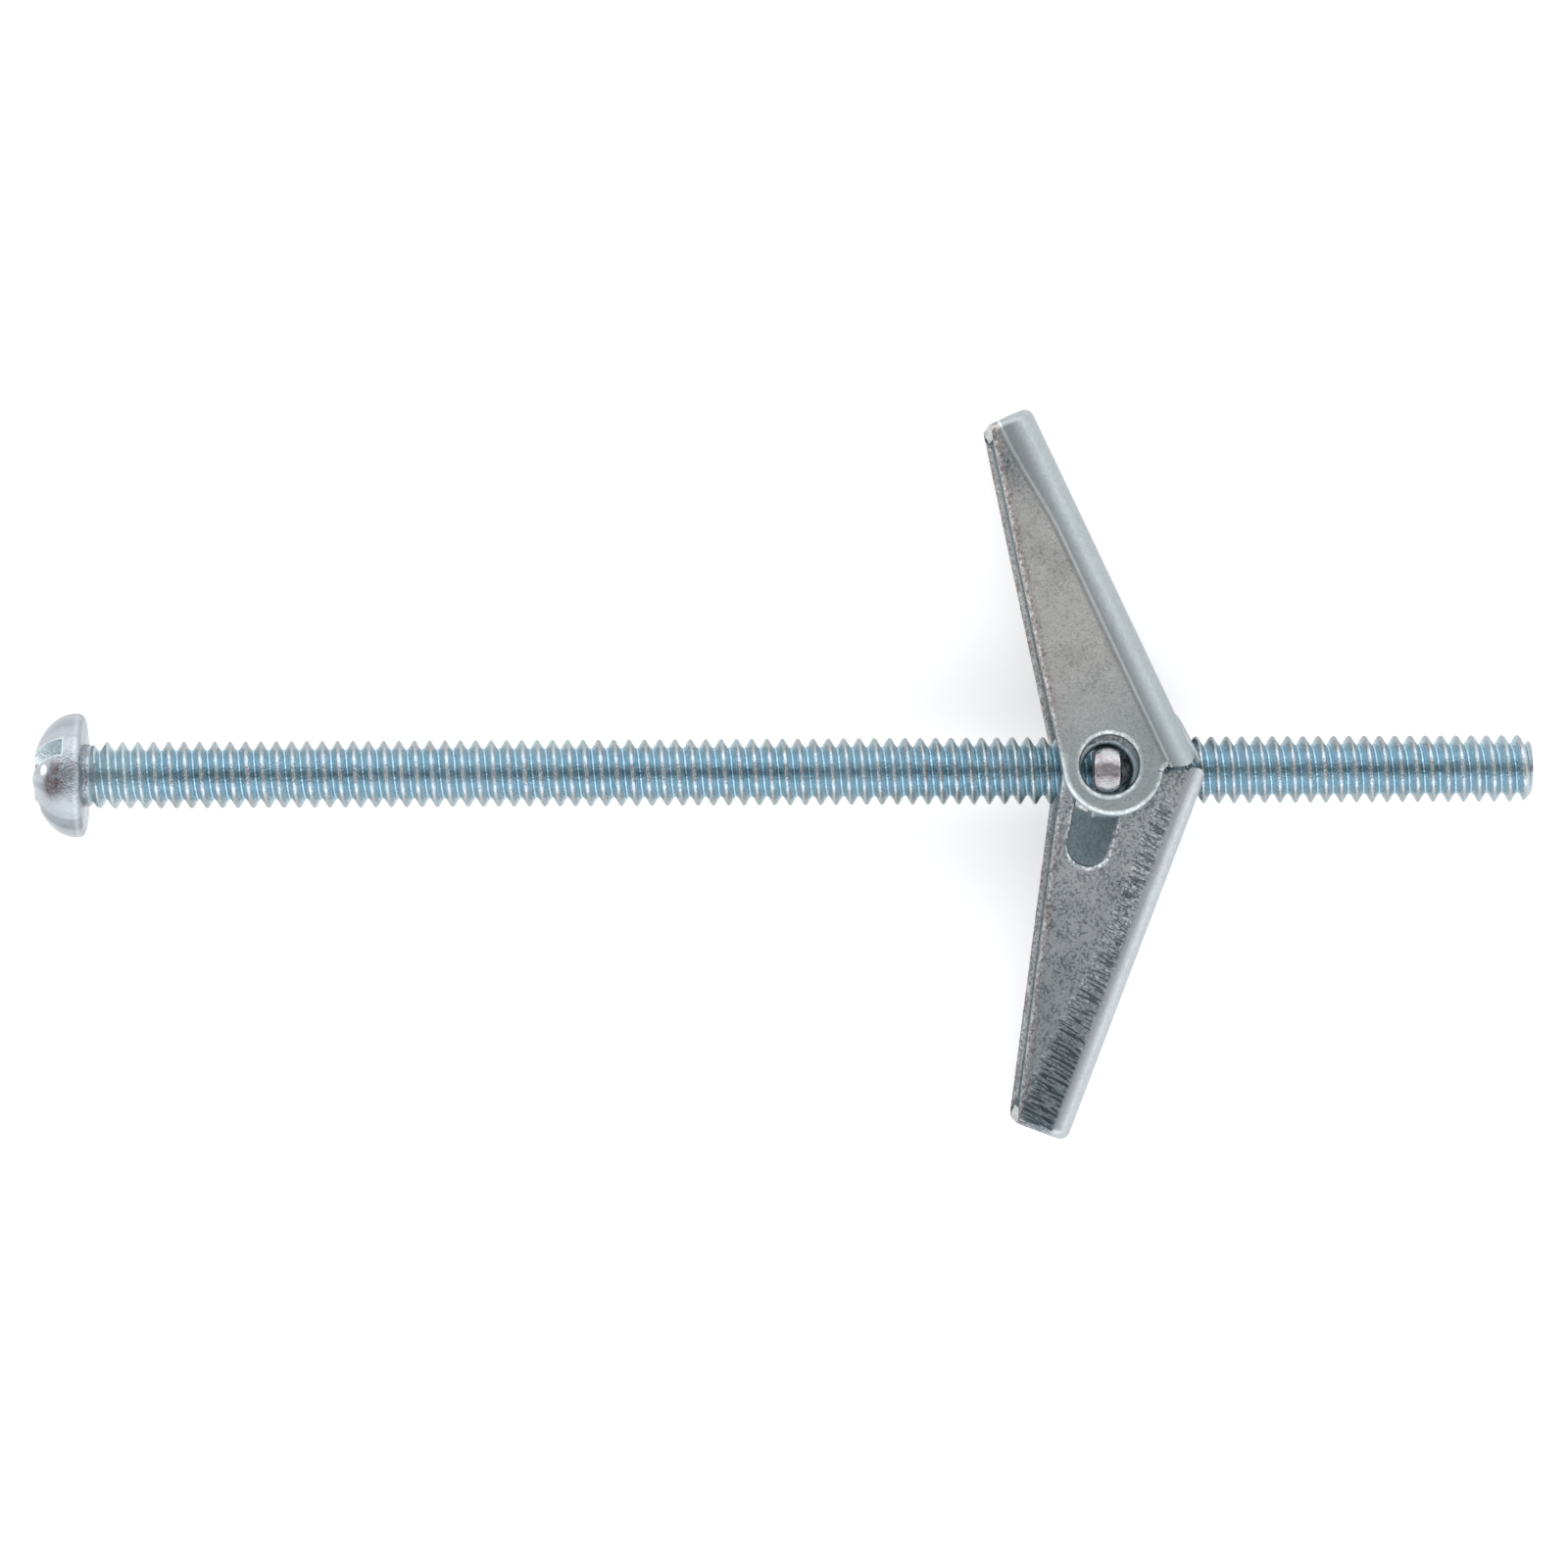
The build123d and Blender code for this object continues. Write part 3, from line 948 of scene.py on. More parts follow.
@dataclass
class Screw:
    """Round-head machine screw with its true right-hand thread."""

    length: float = 99.8
    pitch: float = 25.4 / 24
    crest_radius: float = 2.325
    depth: float = 0.62
    half_thread: tuple[Point, ...] = (
        (0.0, 0.0), (0.06, 0.03), (0.12, 0.15), (0.24, 0.48), (0.32, 0.71), (0.37, 0.85), (0.42, 0.94),
        (0.46, 0.985), (0.5, 1.0),
    )
    thread_start: float = 0.2
    neck_radius: float = 2.15
    neck_length: float = 0.35
    neck_taper: float = 0.4
    run_in_step: float = 0.14
    run_in_slope: float = 0.42
    end_chamfer: float = 0.55
    steps_per_turn: int = 48
    head_radius: float = 4.28
    rim_height: float = 0.6
    crown_height: float = 3.05
    edge_round: float = 0.45
    recess_round: float = 0.13
    recess_angle: float = 32.0
    head_steps: int = 96
    slot_width: float = 1.25
    slot_depth: float = 2.4
    slot_angle: float = 29.0
    cross_reach: float = 2.4
    cross_floor: float = 0.8
    cross_width: float = 0.95
    cross_depth: float = 2.3

    def build(self) -> list[Piece]:
        """Builds the screw's head and shank, riding on its body.

        Returns:
            Both pieces.
        """
        finish = ThreadedZinc().material(self)
        pieces = [self.head(finish), self.shank(finish)]
        for piece in pieces:
            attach(piece, "screw")
            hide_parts("screw")
        return pieces

    def root_radius(self) -> float:
        """Returns the radius at the thread's root."""
        return self.crest_radius - self.depth

    def top(self) -> float:
        """Returns the crown's highest point along the axis."""
        return -self.rim_height - self.crown_height

    def thread_profile(self) -> list[Point]:
        """Works out one pitch of the thread, from root to root.

        Returns:
            Its points, before the first turn.
        """
        start, root = self.thread_start - 2 * self.pitch, self.root_radius()
        far_half = [(1.0 - place, height) for place, height in reversed(self.half_thread[:-1])]
        shape = [*self.half_thread, *far_half]
        return [(start + place * self.pitch, root + height * self.depth) for place, height in shape]

    def ceiling(self, x: float) -> float:
        """Works out the largest radius that the shank may have, where it runs in and at its end chamfer.

        Args:
            x: the place along the axis.
        Returns:
            The radius.
        """
        past_neck = max(0.0, x - self.neck_length)
        past_chamfer = max(0.0, x - (self.length - self.end_chamfer))
        run_in = self.neck_radius - self.run_in_step + past_neck * self.run_in_slope
        return min(self.crest_radius, run_in, self.crest_radius - past_chamfer)

    def shank(self, finish: Material) -> Piece:
        """Sweeps the thread along its helix and trims it to length.

        Args:
            finish: the screw's material.
        Returns:
            The threaded shank.
        """
        bm = lathe(self.thread_profile(), self.steps_per_turn, advance=self.pitch)
        turns = 1
        while (turns - 2) * self.pitch < self.length + self.pitch:
            grown = bmesh.ops.duplicate(bm, geom=[*bm.verts, *bm.edges, *bm.faces])
            move_new(bm, grown, Vector((turns * self.pitch, 0, 0)))
            turns *= 2
        bmesh.ops.remove_doubles(bm, verts=bm.verts, dist=10 * SAME)
        self.trim(bm, self.neck_length / 2, -1)
        self.trim(bm, self.length, 1)
        for vert in bm.verts:
            radius = hypot(vert.co.y, vert.co.z)
            limit = self.ceiling(vert.co.x)
            if radius > limit:
                vert.co.y *= limit / radius
                vert.co.z *= limit / radius
        return make_object(bm, "screw_shank", finish, 60.0)

    def trim(self, bm: Mesh, place: float, facing: int) -> None:
        """Cuts the swept thread square and closes it there.

        Args:
            bm: the swept thread.
            place: where it is cut along the axis.
            facing: 1 to take away what lies beyond, and -1 for what lies before.
        """
        bmesh.ops.bisect_plane(
            bm, geom=[*bm.verts, *bm.edges, *bm.faces], dist=SAME / 10, plane_co=(place, 0, 0),
            plane_no=(facing, 0, 0), clear_outer=True,
        )
        rim = [
            edge
            for edge in bm.edges
            if edge.is_boundary and all(abs(vert.co.x - place) < 10 * SAME for vert in edge.verts)
        ]
        bmesh.ops.triangle_fill(bm, use_beauty=True, edges=rim)

    def head(self, finish: Material) -> Piece:
        """Turns the head with its neck, then cuts the slot and the cross.

        Args:
            finish: the screw's material.
        Returns:
            The head.
        """
        crown = arc((0.0, 0.0), 1.0, 180.0, 90.0, 22)
        outline = [(-self.rim_height + x * self.crown_height, y * self.head_radius) for x, y in crown]
        corner = (-self.edge_round, self.head_radius - self.edge_round)
        outline += arc(corner, self.edge_round, 90.0, 0.0, 6)
        neck_end = self.neck_length + self.neck_taper
        outline += [(0.0, self.neck_radius), (self.neck_length, self.neck_radius)]
        outline += [(neck_end, self.neck_radius - self.neck_taper), (neck_end, 0.0)]
        head = make_object(lathe(outline, self.head_steps), "screw_head", finish, 50.0)
        cut_away(head, [self.slot_cutter(), self.cross_cutter(0.0), self.cross_cutter(90.0)])
        add_bevel(head, self.recess_round, 3, self.recess_angle)
        return head

    def slot_cutter(self) -> Piece:
        """Makes the straight slot's space.

        Returns:
            The cutter.
        """
        bm = bmesh.new()
        bmesh.ops.create_cube(bm, size=1.0)
        size = (2 * self.slot_depth, self.slot_width, 4 * self.head_radius)
        bmesh.ops.scale(bm, vec=size, verts=bm.verts)
        return self.place_cutter(bm, "slot_space", 0.0)

    def cross_cutter(self, turn: float) -> Piece:
        """Makes the space of two opposite arms of the cross, tapered down to its floor.

        Args:
            turn: the arms' angle from the slot, in degrees.
        Returns:
            The cutter.
        """
        half = self.cross_width / 2
        above = self.cross_reach + (self.cross_reach - self.cross_floor) / self.cross_depth
        floor = (self.cross_depth, self.cross_floor)
        corners = [(-1.0, -above), (-1.0, above), floor, (floor[0], -floor[1])]
        bm = prism([Vector((x, -half, z)) for x, z in corners], Vector((0, 2 * half, 0)))
        return self.place_cutter(bm, f"cross_space_{turn:.0f}", turn)

    def place_cutter(self, bm: Mesh, name: str, turn: float) -> Piece:
        """Turns a cutter to the slot's direction and sets it on the crown.

        Args:
            bm: the cutter's mesh.
            name: its name.
            turn: its angle from the slot, in degrees.
        Returns:
            The cutter.
        """
        turned = Matrix.Rotation(radians(turn - self.slot_angle), 3, "X")
        bmesh.ops.rotate(bm, cent=(0, 0, 0), matrix=turned, verts=bm.verts)
        bmesh.ops.translate(bm, vec=(self.top(), 0, 0), verts=bm.verts)
        return make_cutter(bm, name)


@dataclass
class Wing:
    """One folded sheet wing: two flanges with ears, a web notched for the screw, and a closed tip.

    Its own frame has u along the wing, v from the web to the open edge and z along the pivot.
    """

    side: Side
    pivot: Vector
    lean: float
    lip_height: float
    zinc: WingZinc
    heel_cut: float = 23.1
    heel_gap: float = 0.16
    sheet: float = 0.9
    reach: float = 24.75
    outer_face: float = 6.35
    inner_face: float = 5.3
    web_offset: float = 5.8
    web_slant: float = 0.8
    tip_depth: float = 2.95
    ear_radius: float = 3.45
    ear_center: Point = (0.1, -0.5)
    outer_bend: float = 1.9
    inner_bend: float = 1.4
    tip_bend: float = 0.65
    hole_radius: float = 2.0
    hole_center: Point = (0.28, -0.28)
    slot_radius: float = 1.65
    slot_end: Point = (5.2, -0.65)
    slot_end_radius: float = 1.4
    notch_radius: float = 2.655
    notch_end: float = 0.9
    lip_width: float = 0.6
    lip_half_turn: float = 98.0
    heel_round: float = 0.7
    edge_round: float = 0.38
    edge_angle: float = 40.0
    edge_margin: float = 0.01
    plain_end: float = 1.4
    corner_round: float = 0.75
    corner_bite: Point = (0.04, 0.07)

    def build(self) -> list[Piece]:
        """Builds the wing and its raised lip, riding on the wing's body.

        Returns:
            Both pieces.
        """
        finish = self.zinc.material(self)
        pieces = [self.channel(finish), self.lip(finish)]
        for piece in pieces:
            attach(piece, self.name())
            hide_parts(self.name())
        return pieces

    def name(self) -> str:
        """Returns the wing's name, which is its node's and its body's too."""
        return f"{self.side.value}_wing"

    def turn(self) -> Euler:
        """Returns how the wing is turned from its own frame to the part's; the lower one is turned over."""
        upright = radians(90.0 + self.lean)
        return Euler((0.0, 0.0, upright)) if self.side is Side.UPPER else Euler((pi, 0.0, -upright))

    def plane(self) -> Matrix:
        """Returns the wing's own frame in the part's, in metres."""
        return Matrix.Translation(self.pivot) @ self.turn().to_matrix().to_4x4()

    def set_down(self, bm: Mesh) -> None:
        """Moves a mesh from the wing's own frame to the part's, still in millimetres.

        Args:
            bm: the mesh.
        """
        matrix = self.plane()
        matrix.translation = matrix.translation / MM
        bmesh.ops.transform(bm, matrix=matrix, verts=bm.verts)

    def heel(self, v: float) -> Point:
        """Returns the point of the slanted heel cut at v."""
        slant = radians(self.heel_cut)
        return (v * tan(slant) + self.heel_gap / 2 / cos(slant), v)

    def ear_touch(self) -> float:
        """Returns the angle at which the open edge runs onto the round ear."""
        du, dv = self.reach - self.ear_center[0], self.tip_depth - self.web_offset - self.ear_center[1]
        return degrees(atan2(dv, du) + acos(self.ear_radius / hypot(du, dv)))

    def mouth_line(self) -> Point:
        """Returns the open edge as its slope and its height at the pivot."""
        slope = -1.0 / tan(radians(self.ear_touch()))
        return slope, self.tip_depth - self.web_offset - slope * self.reach

    def outline(self) -> list[Point]:
        """Draws the wing from the side: web, tip, open edge, round ear and back to the heel.

        Returns:
            The outline's points.
        """
        slant = radians(self.heel_cut)
        start = Vector(self.heel(self.ear_center[1])) - Vector(self.ear_center)
        way = Vector((-sin(slant), -cos(slant)))
        run = -start.dot(way) + sqrt(start.dot(way) ** 2 - start.length_squared + self.ear_radius**2)
        meet = start + way * run
        leave = degrees(atan2(meet.y, meet.x)) + 360.0
        ear = arc(self.ear_center, self.ear_radius, self.ear_touch(), leave, 40)
        slope, height = self.mouth_line()
        stop = self.reach - self.plain_end
        mouth = [(self.reach, self.tip_depth - self.web_offset), (stop, slope * stop + height)]
        return [self.heel(-self.web_offset), (self.reach, -self.web_offset), *mouth, *ear]

    def slot_outline(self) -> list[Point]:
        """Draws the tapered slot: the outline round its two end circles.

        Returns:
            The outline's points.
        """
        end_u, end_v = self.slot_end
        heading = degrees(atan2(end_v, end_u))
        spread = degrees(acos((self.slot_radius - self.slot_end_radius) / hypot(end_u, end_v)))
        pivot_end = arc((0.0, 0.0), self.slot_radius, heading + spread, heading + 360.0 - spread, 28)
        far_end = arc(self.slot_end, self.slot_end_radius, heading - spread, heading + spread, 20)
        return pivot_end + far_end

    def channel(self, finish: Material) -> Piece:
        """Folds the sheet: its outer skin is made here, and a modifier gives it its thickness.

        Args:
            finish: the wing's material.
        Returns:
            The folded channel.
        """
        full = self.outer_face + self.inner_face
        bm = prism([Vector((u, v, -self.inner_face)) for u, v in self.outline()], Vector((0, 0, full)))
        bmesh.ops.recalc_face_normals(bm, faces=bm.faces)
        web = [vert for vert in bm.verts if abs(vert.co.y + self.web_offset) < SAME]
        self.slant(web, [vert for vert in web if vert.co.x < 0.0])
        self.round_fold(bm, self.outer_face, self.web_offset, self.outer_bend)
        self.round_fold(bm, -self.inner_face, self.web_offset + self.web_slant, self.inner_bend)
        self.round_tip(bm)
        open_faces = [face for face in bm.faces if self.height(face) > full - 10 * SAME]
        bmesh.ops.delete(bm, geom=open_faces, context="FACES_ONLY")
        loose = [edge for edge in bm.edges if not edge.link_faces]
        bmesh.ops.delete(bm, geom=loose, context="EDGES")
        self.set_down(bm)
        channel = make_object(bm, f"{self.name()}_sheet", finish, 35.0)
        thick = channel.modifiers.new("sheet", "SOLIDIFY")
        thick.thickness = self.sheet * MM
        thick.offset = -1.0
        thick.use_even_offset = True
        cut_away(channel, self.spaces())
        self.mark_rims(channel)
        add_bevel(channel, self.edge_round, 4)
        return channel

    @staticmethod
    def height(face: bmesh.types.BMFace) -> float:
        """Returns how far a face reaches along the pivot's direction."""
        heights = [vert.co.z for vert in face.verts]
        return max(heights) - min(heights)

    def slant(self, verts: list[Vert], on_heel: list[Vert]) -> None:
        """Slants the web, which stands further out at the inner flange than at the outer one.

        Args:
            verts: what moves out.
            on_heel: those of them that also follow the slanted heel cut.
        """
        for vert in verts:
            share = (self.outer_face - vert.co.z) / (self.outer_face + self.inner_face)
            vert.co.y -= self.web_slant * share
            if vert in on_heel:
                vert.co.x -= self.web_slant * share * tan(radians(self.heel_cut))

    def round_fold(self, bm: Mesh, level: float, offset: float, radius: float) -> None:
        """Rounds the long fold between the web and a flange.

        Args:
            bm: the skin.
            level: the flange's level.
            offset: how far the web lies from the pivot there.
            radius: the rounding.
        """
        fold = [
            edge
            for edge in bm.edges
            if all(abs(vert.co.z - level) < SAME and abs(vert.co.y + offset) < SAME for vert in edge.verts)
        ]
        round_edges(bm, fold, radius, 10)

    def round_tip(self, bm: Mesh) -> None:
        """Rounds the closed tip's edges, apart from its open one.

        Args:
            bm: the skin.
        """
        open_edge = self.tip_depth - self.web_offset
        rim = [
            edge
            for edge in bm.edges
            if all(abs(vert.co.x - self.reach) < SAME for vert in edge.verts)
            and not all(abs(vert.co.y - open_edge) < SAME for vert in edge.verts)
        ]
        round_edges(bm, rim, self.tip_bend, 6)

    def mark_rims(self, channel: Piece) -> None:
        """Marks the flanges' cut edges to be rounded, clear of the folds and of the tip's corners.

        Args:
            channel: the folded channel.
        """
        bm = bmesh.new()
        bm.from_mesh(channel.data)
        weight = bm.edges.layers.float.new("bevel_weight_edge")
        inward = self.plane().inverted()
        for edge in bm.edges:
            if not edge.is_manifold or edge.calc_face_angle() < radians(self.edge_angle):
                continue
            if all(self.on_flange((inward @ vert.co) / MM) for vert in edge.verts):
                edge[weight] = 1.0
        bm.to_mesh(channel.data)
        bm.free()

    def on_flange(self, place: Vector) -> bool:
        """Tells whether a place is on a flange's plain part.

        Args:
            place: the place, in the wing's own frame.
        Returns:
            Whether it is.
        """
        if place.z > 0.0:
            fold = self.outer_bend - self.web_offset
        else:
            fold = self.inner_bend - self.web_slant - self.web_offset
        stop = self.reach - self.plain_end
        return place.x < stop + self.edge_margin and place.y > fold - self.edge_margin

    def space(self, name: str, outline: list[Vector], way: Vector) -> Piece:
        """Makes a shape to cut away.

        Args:
            name: its name.
            outline: its base, in the wing's own frame.
            way: the vector from its base to its top.
        Returns:
            The cutter.
        """
        bm = prism(outline, way)
        self.set_down(bm)
        return make_cutter(bm, name)

    def flange_space(self, name: str, outline: list[Point], base: float, depth: float) -> Piece:
        """Makes a shape that cuts through a flange.

        Args:
            name: its name.
            outline: its outline from the side.
            base: the level where it starts.
            depth: how far it reaches up from there.
        Returns:
            The cutter.
        """
        return self.space(name, [Vector((u, v, base)) for u, v in outline], Vector((0, 0, depth)))

    def spaces(self) -> list[Piece]:
        """Makes all the shapes that are cut out of the folded sheet.

        Returns:
            The cutters.
        """
        hole = arc(self.hole_center, self.hole_radius, 0.0, 354.0, 59)
        hole_base = self.outer_face - 1.5 * self.sheet
        slot_base = -self.inner_face - self.sheet
        spaces = [
            self.flange_space("hole_space", hole, hole_base, 2 * self.sheet),
            self.flange_space("slot_space", self.slot_outline(), slot_base, 2.5 * self.sheet),
            self.notch_space(),
            self.heel_space(),
        ]
        if self.side is Side.UPPER:
            spaces.append(self.corner_space())
        return spaces

    def corner_space(self) -> Piece:
        """Makes what is cut off to round the outer flange's corner at the tip.

        Returns:
            The cutter, which stands clear of the sheet's other faces.
        """
        edge = self.tip_depth - self.web_offset
        bite_u, bite_v = self.corner_bite
        center = (self.reach - self.corner_round + bite_u, edge - self.corner_round + bite_v)
        outline = arc(center, self.corner_round, 104.0, -11.0, 9)
        far_u, far_v = self.reach + 1.03, edge + 1.0
        outline += [(far_u, outline[-1][1] - 0.1), (far_u, far_v), (outline[0][0] - 0.05, far_v)]
        base = self.outer_face - 2.37 * self.sheet
        return self.flange_space("corner_space", outline, base, 3 * self.sheet)

    def notch_space(self) -> Piece:
        """Makes the space of the notch that lets the screw through the web.

        Returns:
            The cutter.
        """
        round_end = arc((self.notch_end - self.notch_radius, 0.0), self.notch_radius, -90.0, 90.0, 28)
        back = self.heel(-self.web_offset)[0] - 2.0
        rim = [(back, -self.notch_radius), *round_end, (back, self.notch_radius)]
        base = -self.web_offset - self.web_slant - self.sheet
        way = Vector((0, self.web_slant + 2.5 * self.sheet, 0))
        return self.space("notch_space", [Vector((u, base, z)) for u, z in rim], way)

    def heel_space(self) -> Piece:
        """Makes the space outside the heel's rounded corner, slanted like the web.

        Returns:
            The cutter.
        """
        corner_u, corner_v = self.heel(-self.web_offset)
        run = self.heel_round / tan(radians(45.0 - self.heel_cut / 2))
        center = (corner_u + run, corner_v + self.heel_round)
        rim = arc(center, self.heel_round, 180.0 - self.heel_cut, 270.0, 10)
        back, below = corner_u - 1.5, corner_v - 1.0
        rim += [(corner_u + run, below), (back, below), (back, rim[0][1])]
        depth = self.outer_face + self.inner_face + 2.0
        bm = prism([Vector((u, v, -self.inner_face - 1.0)) for u, v in rim], Vector((0, 0, depth)))
        self.slant(list(bm.verts), list(bm.verts))
        self.set_down(bm)
        return make_cutter(bm, "heel_space")

    def lip(self, finish: Material) -> Piece:
        """Turns the raised lip round the notch's closed end.

        Args:
            finish: the wing's material.
        Returns:
            The lip, a part of the same sheet.
        """
        bm = bmesh.new()
        inner, outer = self.notch_radius, self.notch_radius + self.lip_width
        share = self.outer_face / (self.outer_face + self.inner_face)
        web = -self.web_offset - self.web_slant * share
        low, high = web + self.sheet / 2, web - self.lip_height
        crest = arc(((inner + outer) / 2, high + self.lip_width / 2), self.lip_width / 2, 180.0, 360.0, 8)
        section = [(inner, low), *crest, (outer, low)]
        profile = chain(bm, [Vector((radius, v, 0.0)) for radius, v in section])
        verts = verts_of(profile)
        half_turn = radians(self.lip_half_turn)
        bmesh.ops.rotate(bm, cent=(0, 0, 0), matrix=Matrix.Rotation(-half_turn, 3, "Y"), verts=verts)
        bmesh.ops.contextual_create(bm, geom=profile)
        bmesh.ops.spin(
            bm, geom=[*verts, *profile, *bm.faces], cent=(0, 0, 0), axis=(0, 1, 0), angle=2 * half_turn,
            steps=36, use_merge=False,
        )
        bmesh.ops.translate(bm, vec=(self.notch_end - self.notch_radius, 0, 0), verts=bm.verts)
        self.set_down(bm)
        return make_object(bm, f"{self.name()}_lip", finish, 50.0)


@dataclass
class TrunnionNut:
    """Flat nut between the wings: a plate with a tapped neck, and an arm through each pair of ears."""

    pivot: Vector
    thickness: float = 1.75
    width: float = 6.6
    height: float = 6.0
    corner: float = 1.2
    bore: float = 2.38
    neck_start: float = 0.2
    neck_wall: float = 0.57
    neck_flare: float = 0.25
    flare_start: float = 0.05
    flare_end: float = 0.35
    neck_end: float = 3.2
    arm_root: float = 0.6
    arm_radius: float = 1.55
    arm_reach: float = 6.3
    crown_radius: float = 2.5
    crown_shares: tuple[float, ...] = (0.94, 0.86, 0.75, 0.6, 0.42, 0.2)
    plate_round: float = 0.15
    neck_round: float = 0.1
    arm_round: float = 0.12

    def build(self) -> list[Piece]:
        """Builds the nut's plate, neck and arms, riding on its body.

        Returns:
            The four pieces.
        """
        finish = NutZinc().material()
        pieces = [self.plate(finish), self.neck(finish), self.arm(finish, 1), self.arm(finish, -1)]
        for piece in pieces:
            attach(piece, "trunnion")
            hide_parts("trunnion_nut")
        return pieces

    def set_down(self, bm: Mesh) -> None:
        """Moves a mesh from the nut's centre to its place in the part, still in millimetres."""
        bmesh.ops.translate(bm, vec=self.pivot / MM, verts=bm.verts)

    def plate(self, finish: Material) -> Piece:
        """Makes the plate with its bore.

        Args:
            finish: the nut's material.
        Returns:
            The plate.
        """
        bm = bmesh.new()
        half_y, half_z = self.width / 2 - self.corner, self.height / 2 - self.corner
        rim: list[Point] = []
        for quarter, (way_y, way_z) in enumerate(((1, 1), (-1, 1), (-1, -1), (1, -1))):
            center = (way_y * half_y, way_z * half_z)
            rim += arc(center, self.corner, 90.0 * quarter, 90.0 * quarter + 90.0, 8)
        back = -self.thickness / 2
        edges = chain(bm, [Vector((back, y, z)) for y, z in rim])
        edges += chain(bm, [Vector((back, y, z)) for y, z in arc((0.0, 0.0), self.bore, 0.0, 352.5, 47)])
        bmesh.ops.triangle_fill(bm, use_beauty=True, edges=edges)
        grown = bmesh.ops.extrude_face_region(bm, geom=list(bm.faces))
        move_new(bm, grown, Vector((self.thickness, 0, 0)))
        self.set_down(bm)
        plate = make_object(bm, "trunnion_plate", finish, 35.0)
        add_bevel(plate, self.plate_round, 3, 40.0)
        return plate

    def neck(self, finish: Material) -> Piece:
        """Makes the neck that is drawn out of the plate and tapped.

        Args:
            finish: the nut's material.
        Returns:
            The neck.
        """
        outer, face = self.bore + self.neck_wall, self.thickness / 2
        section = [
            (self.neck_start, self.bore),
            (self.neck_start, outer + self.neck_flare),
            (face + self.flare_start, outer + self.neck_flare),
            (face + self.flare_end, outer),
            (self.neck_end, outer),
            (self.neck_end, self.bore),
        ]
        bm = lathe(section, 64, close=True)
        self.set_down(bm)
        neck = make_object(bm, "trunnion_neck", finish, 35.0)
        add_bevel(neck, self.neck_round, 2, 40.0)
        return neck

    def arm(self, finish: Material, way: int) -> Piece:
        """Makes one arm: a bar with two flats and a crowned, rounded end.

        Args:
            finish: the nut's material.
            way: 1 for the arm that points up and -1 for the one below.
        Returns:
            The arm.
        """
        corner = degrees(acos(self.thickness / 2 / self.arm_radius))
        rim = arc((0.0, 0.0), self.arm_radius, corner, 180.0 - corner, 10)
        rim += arc((0.0, 0.0), self.arm_radius, 180.0 + corner, 360.0 - corner, 10)
        root = self.height / 2 - self.arm_root
        shoulder = self.arm_reach - self.crown_drop(1.0)
        bm = prism([Vector((x, y, way * root)) for x, y in rim], Vector((0, 0, way * (shoulder - root))))
        last = 1.0
        for share in self.crown_shares:
            top = max(bm.faces, key=lambda face: way * face.calc_center_median().z)
            grown = bmesh.ops.extrude_face_region(bm, geom=[top])
            bmesh.ops.delete(bm, geom=[top], context="FACES_ONLY")
            level = way * (self.arm_reach - self.crown_drop(share))
            for vert in move_new(bm, grown, Vector()):
                vert.co = Vector((vert.co.x, vert.co.y * share / last, level))
            last = share
        self.set_down(bm)
        arm = make_object(bm, "trunnion_arm_top" if way > 0 else "trunnion_arm_bottom", finish, 50.0)
        add_bevel(arm, self.arm_round, 3, 50.0)
        return arm

    def crown_drop(self, share: float) -> float:
        """Returns how far the crowned end has dropped at a share of its half width."""
        return self.crown_radius - sqrt(self.crown_radius**2 - (share * self.arm_radius) ** 2)


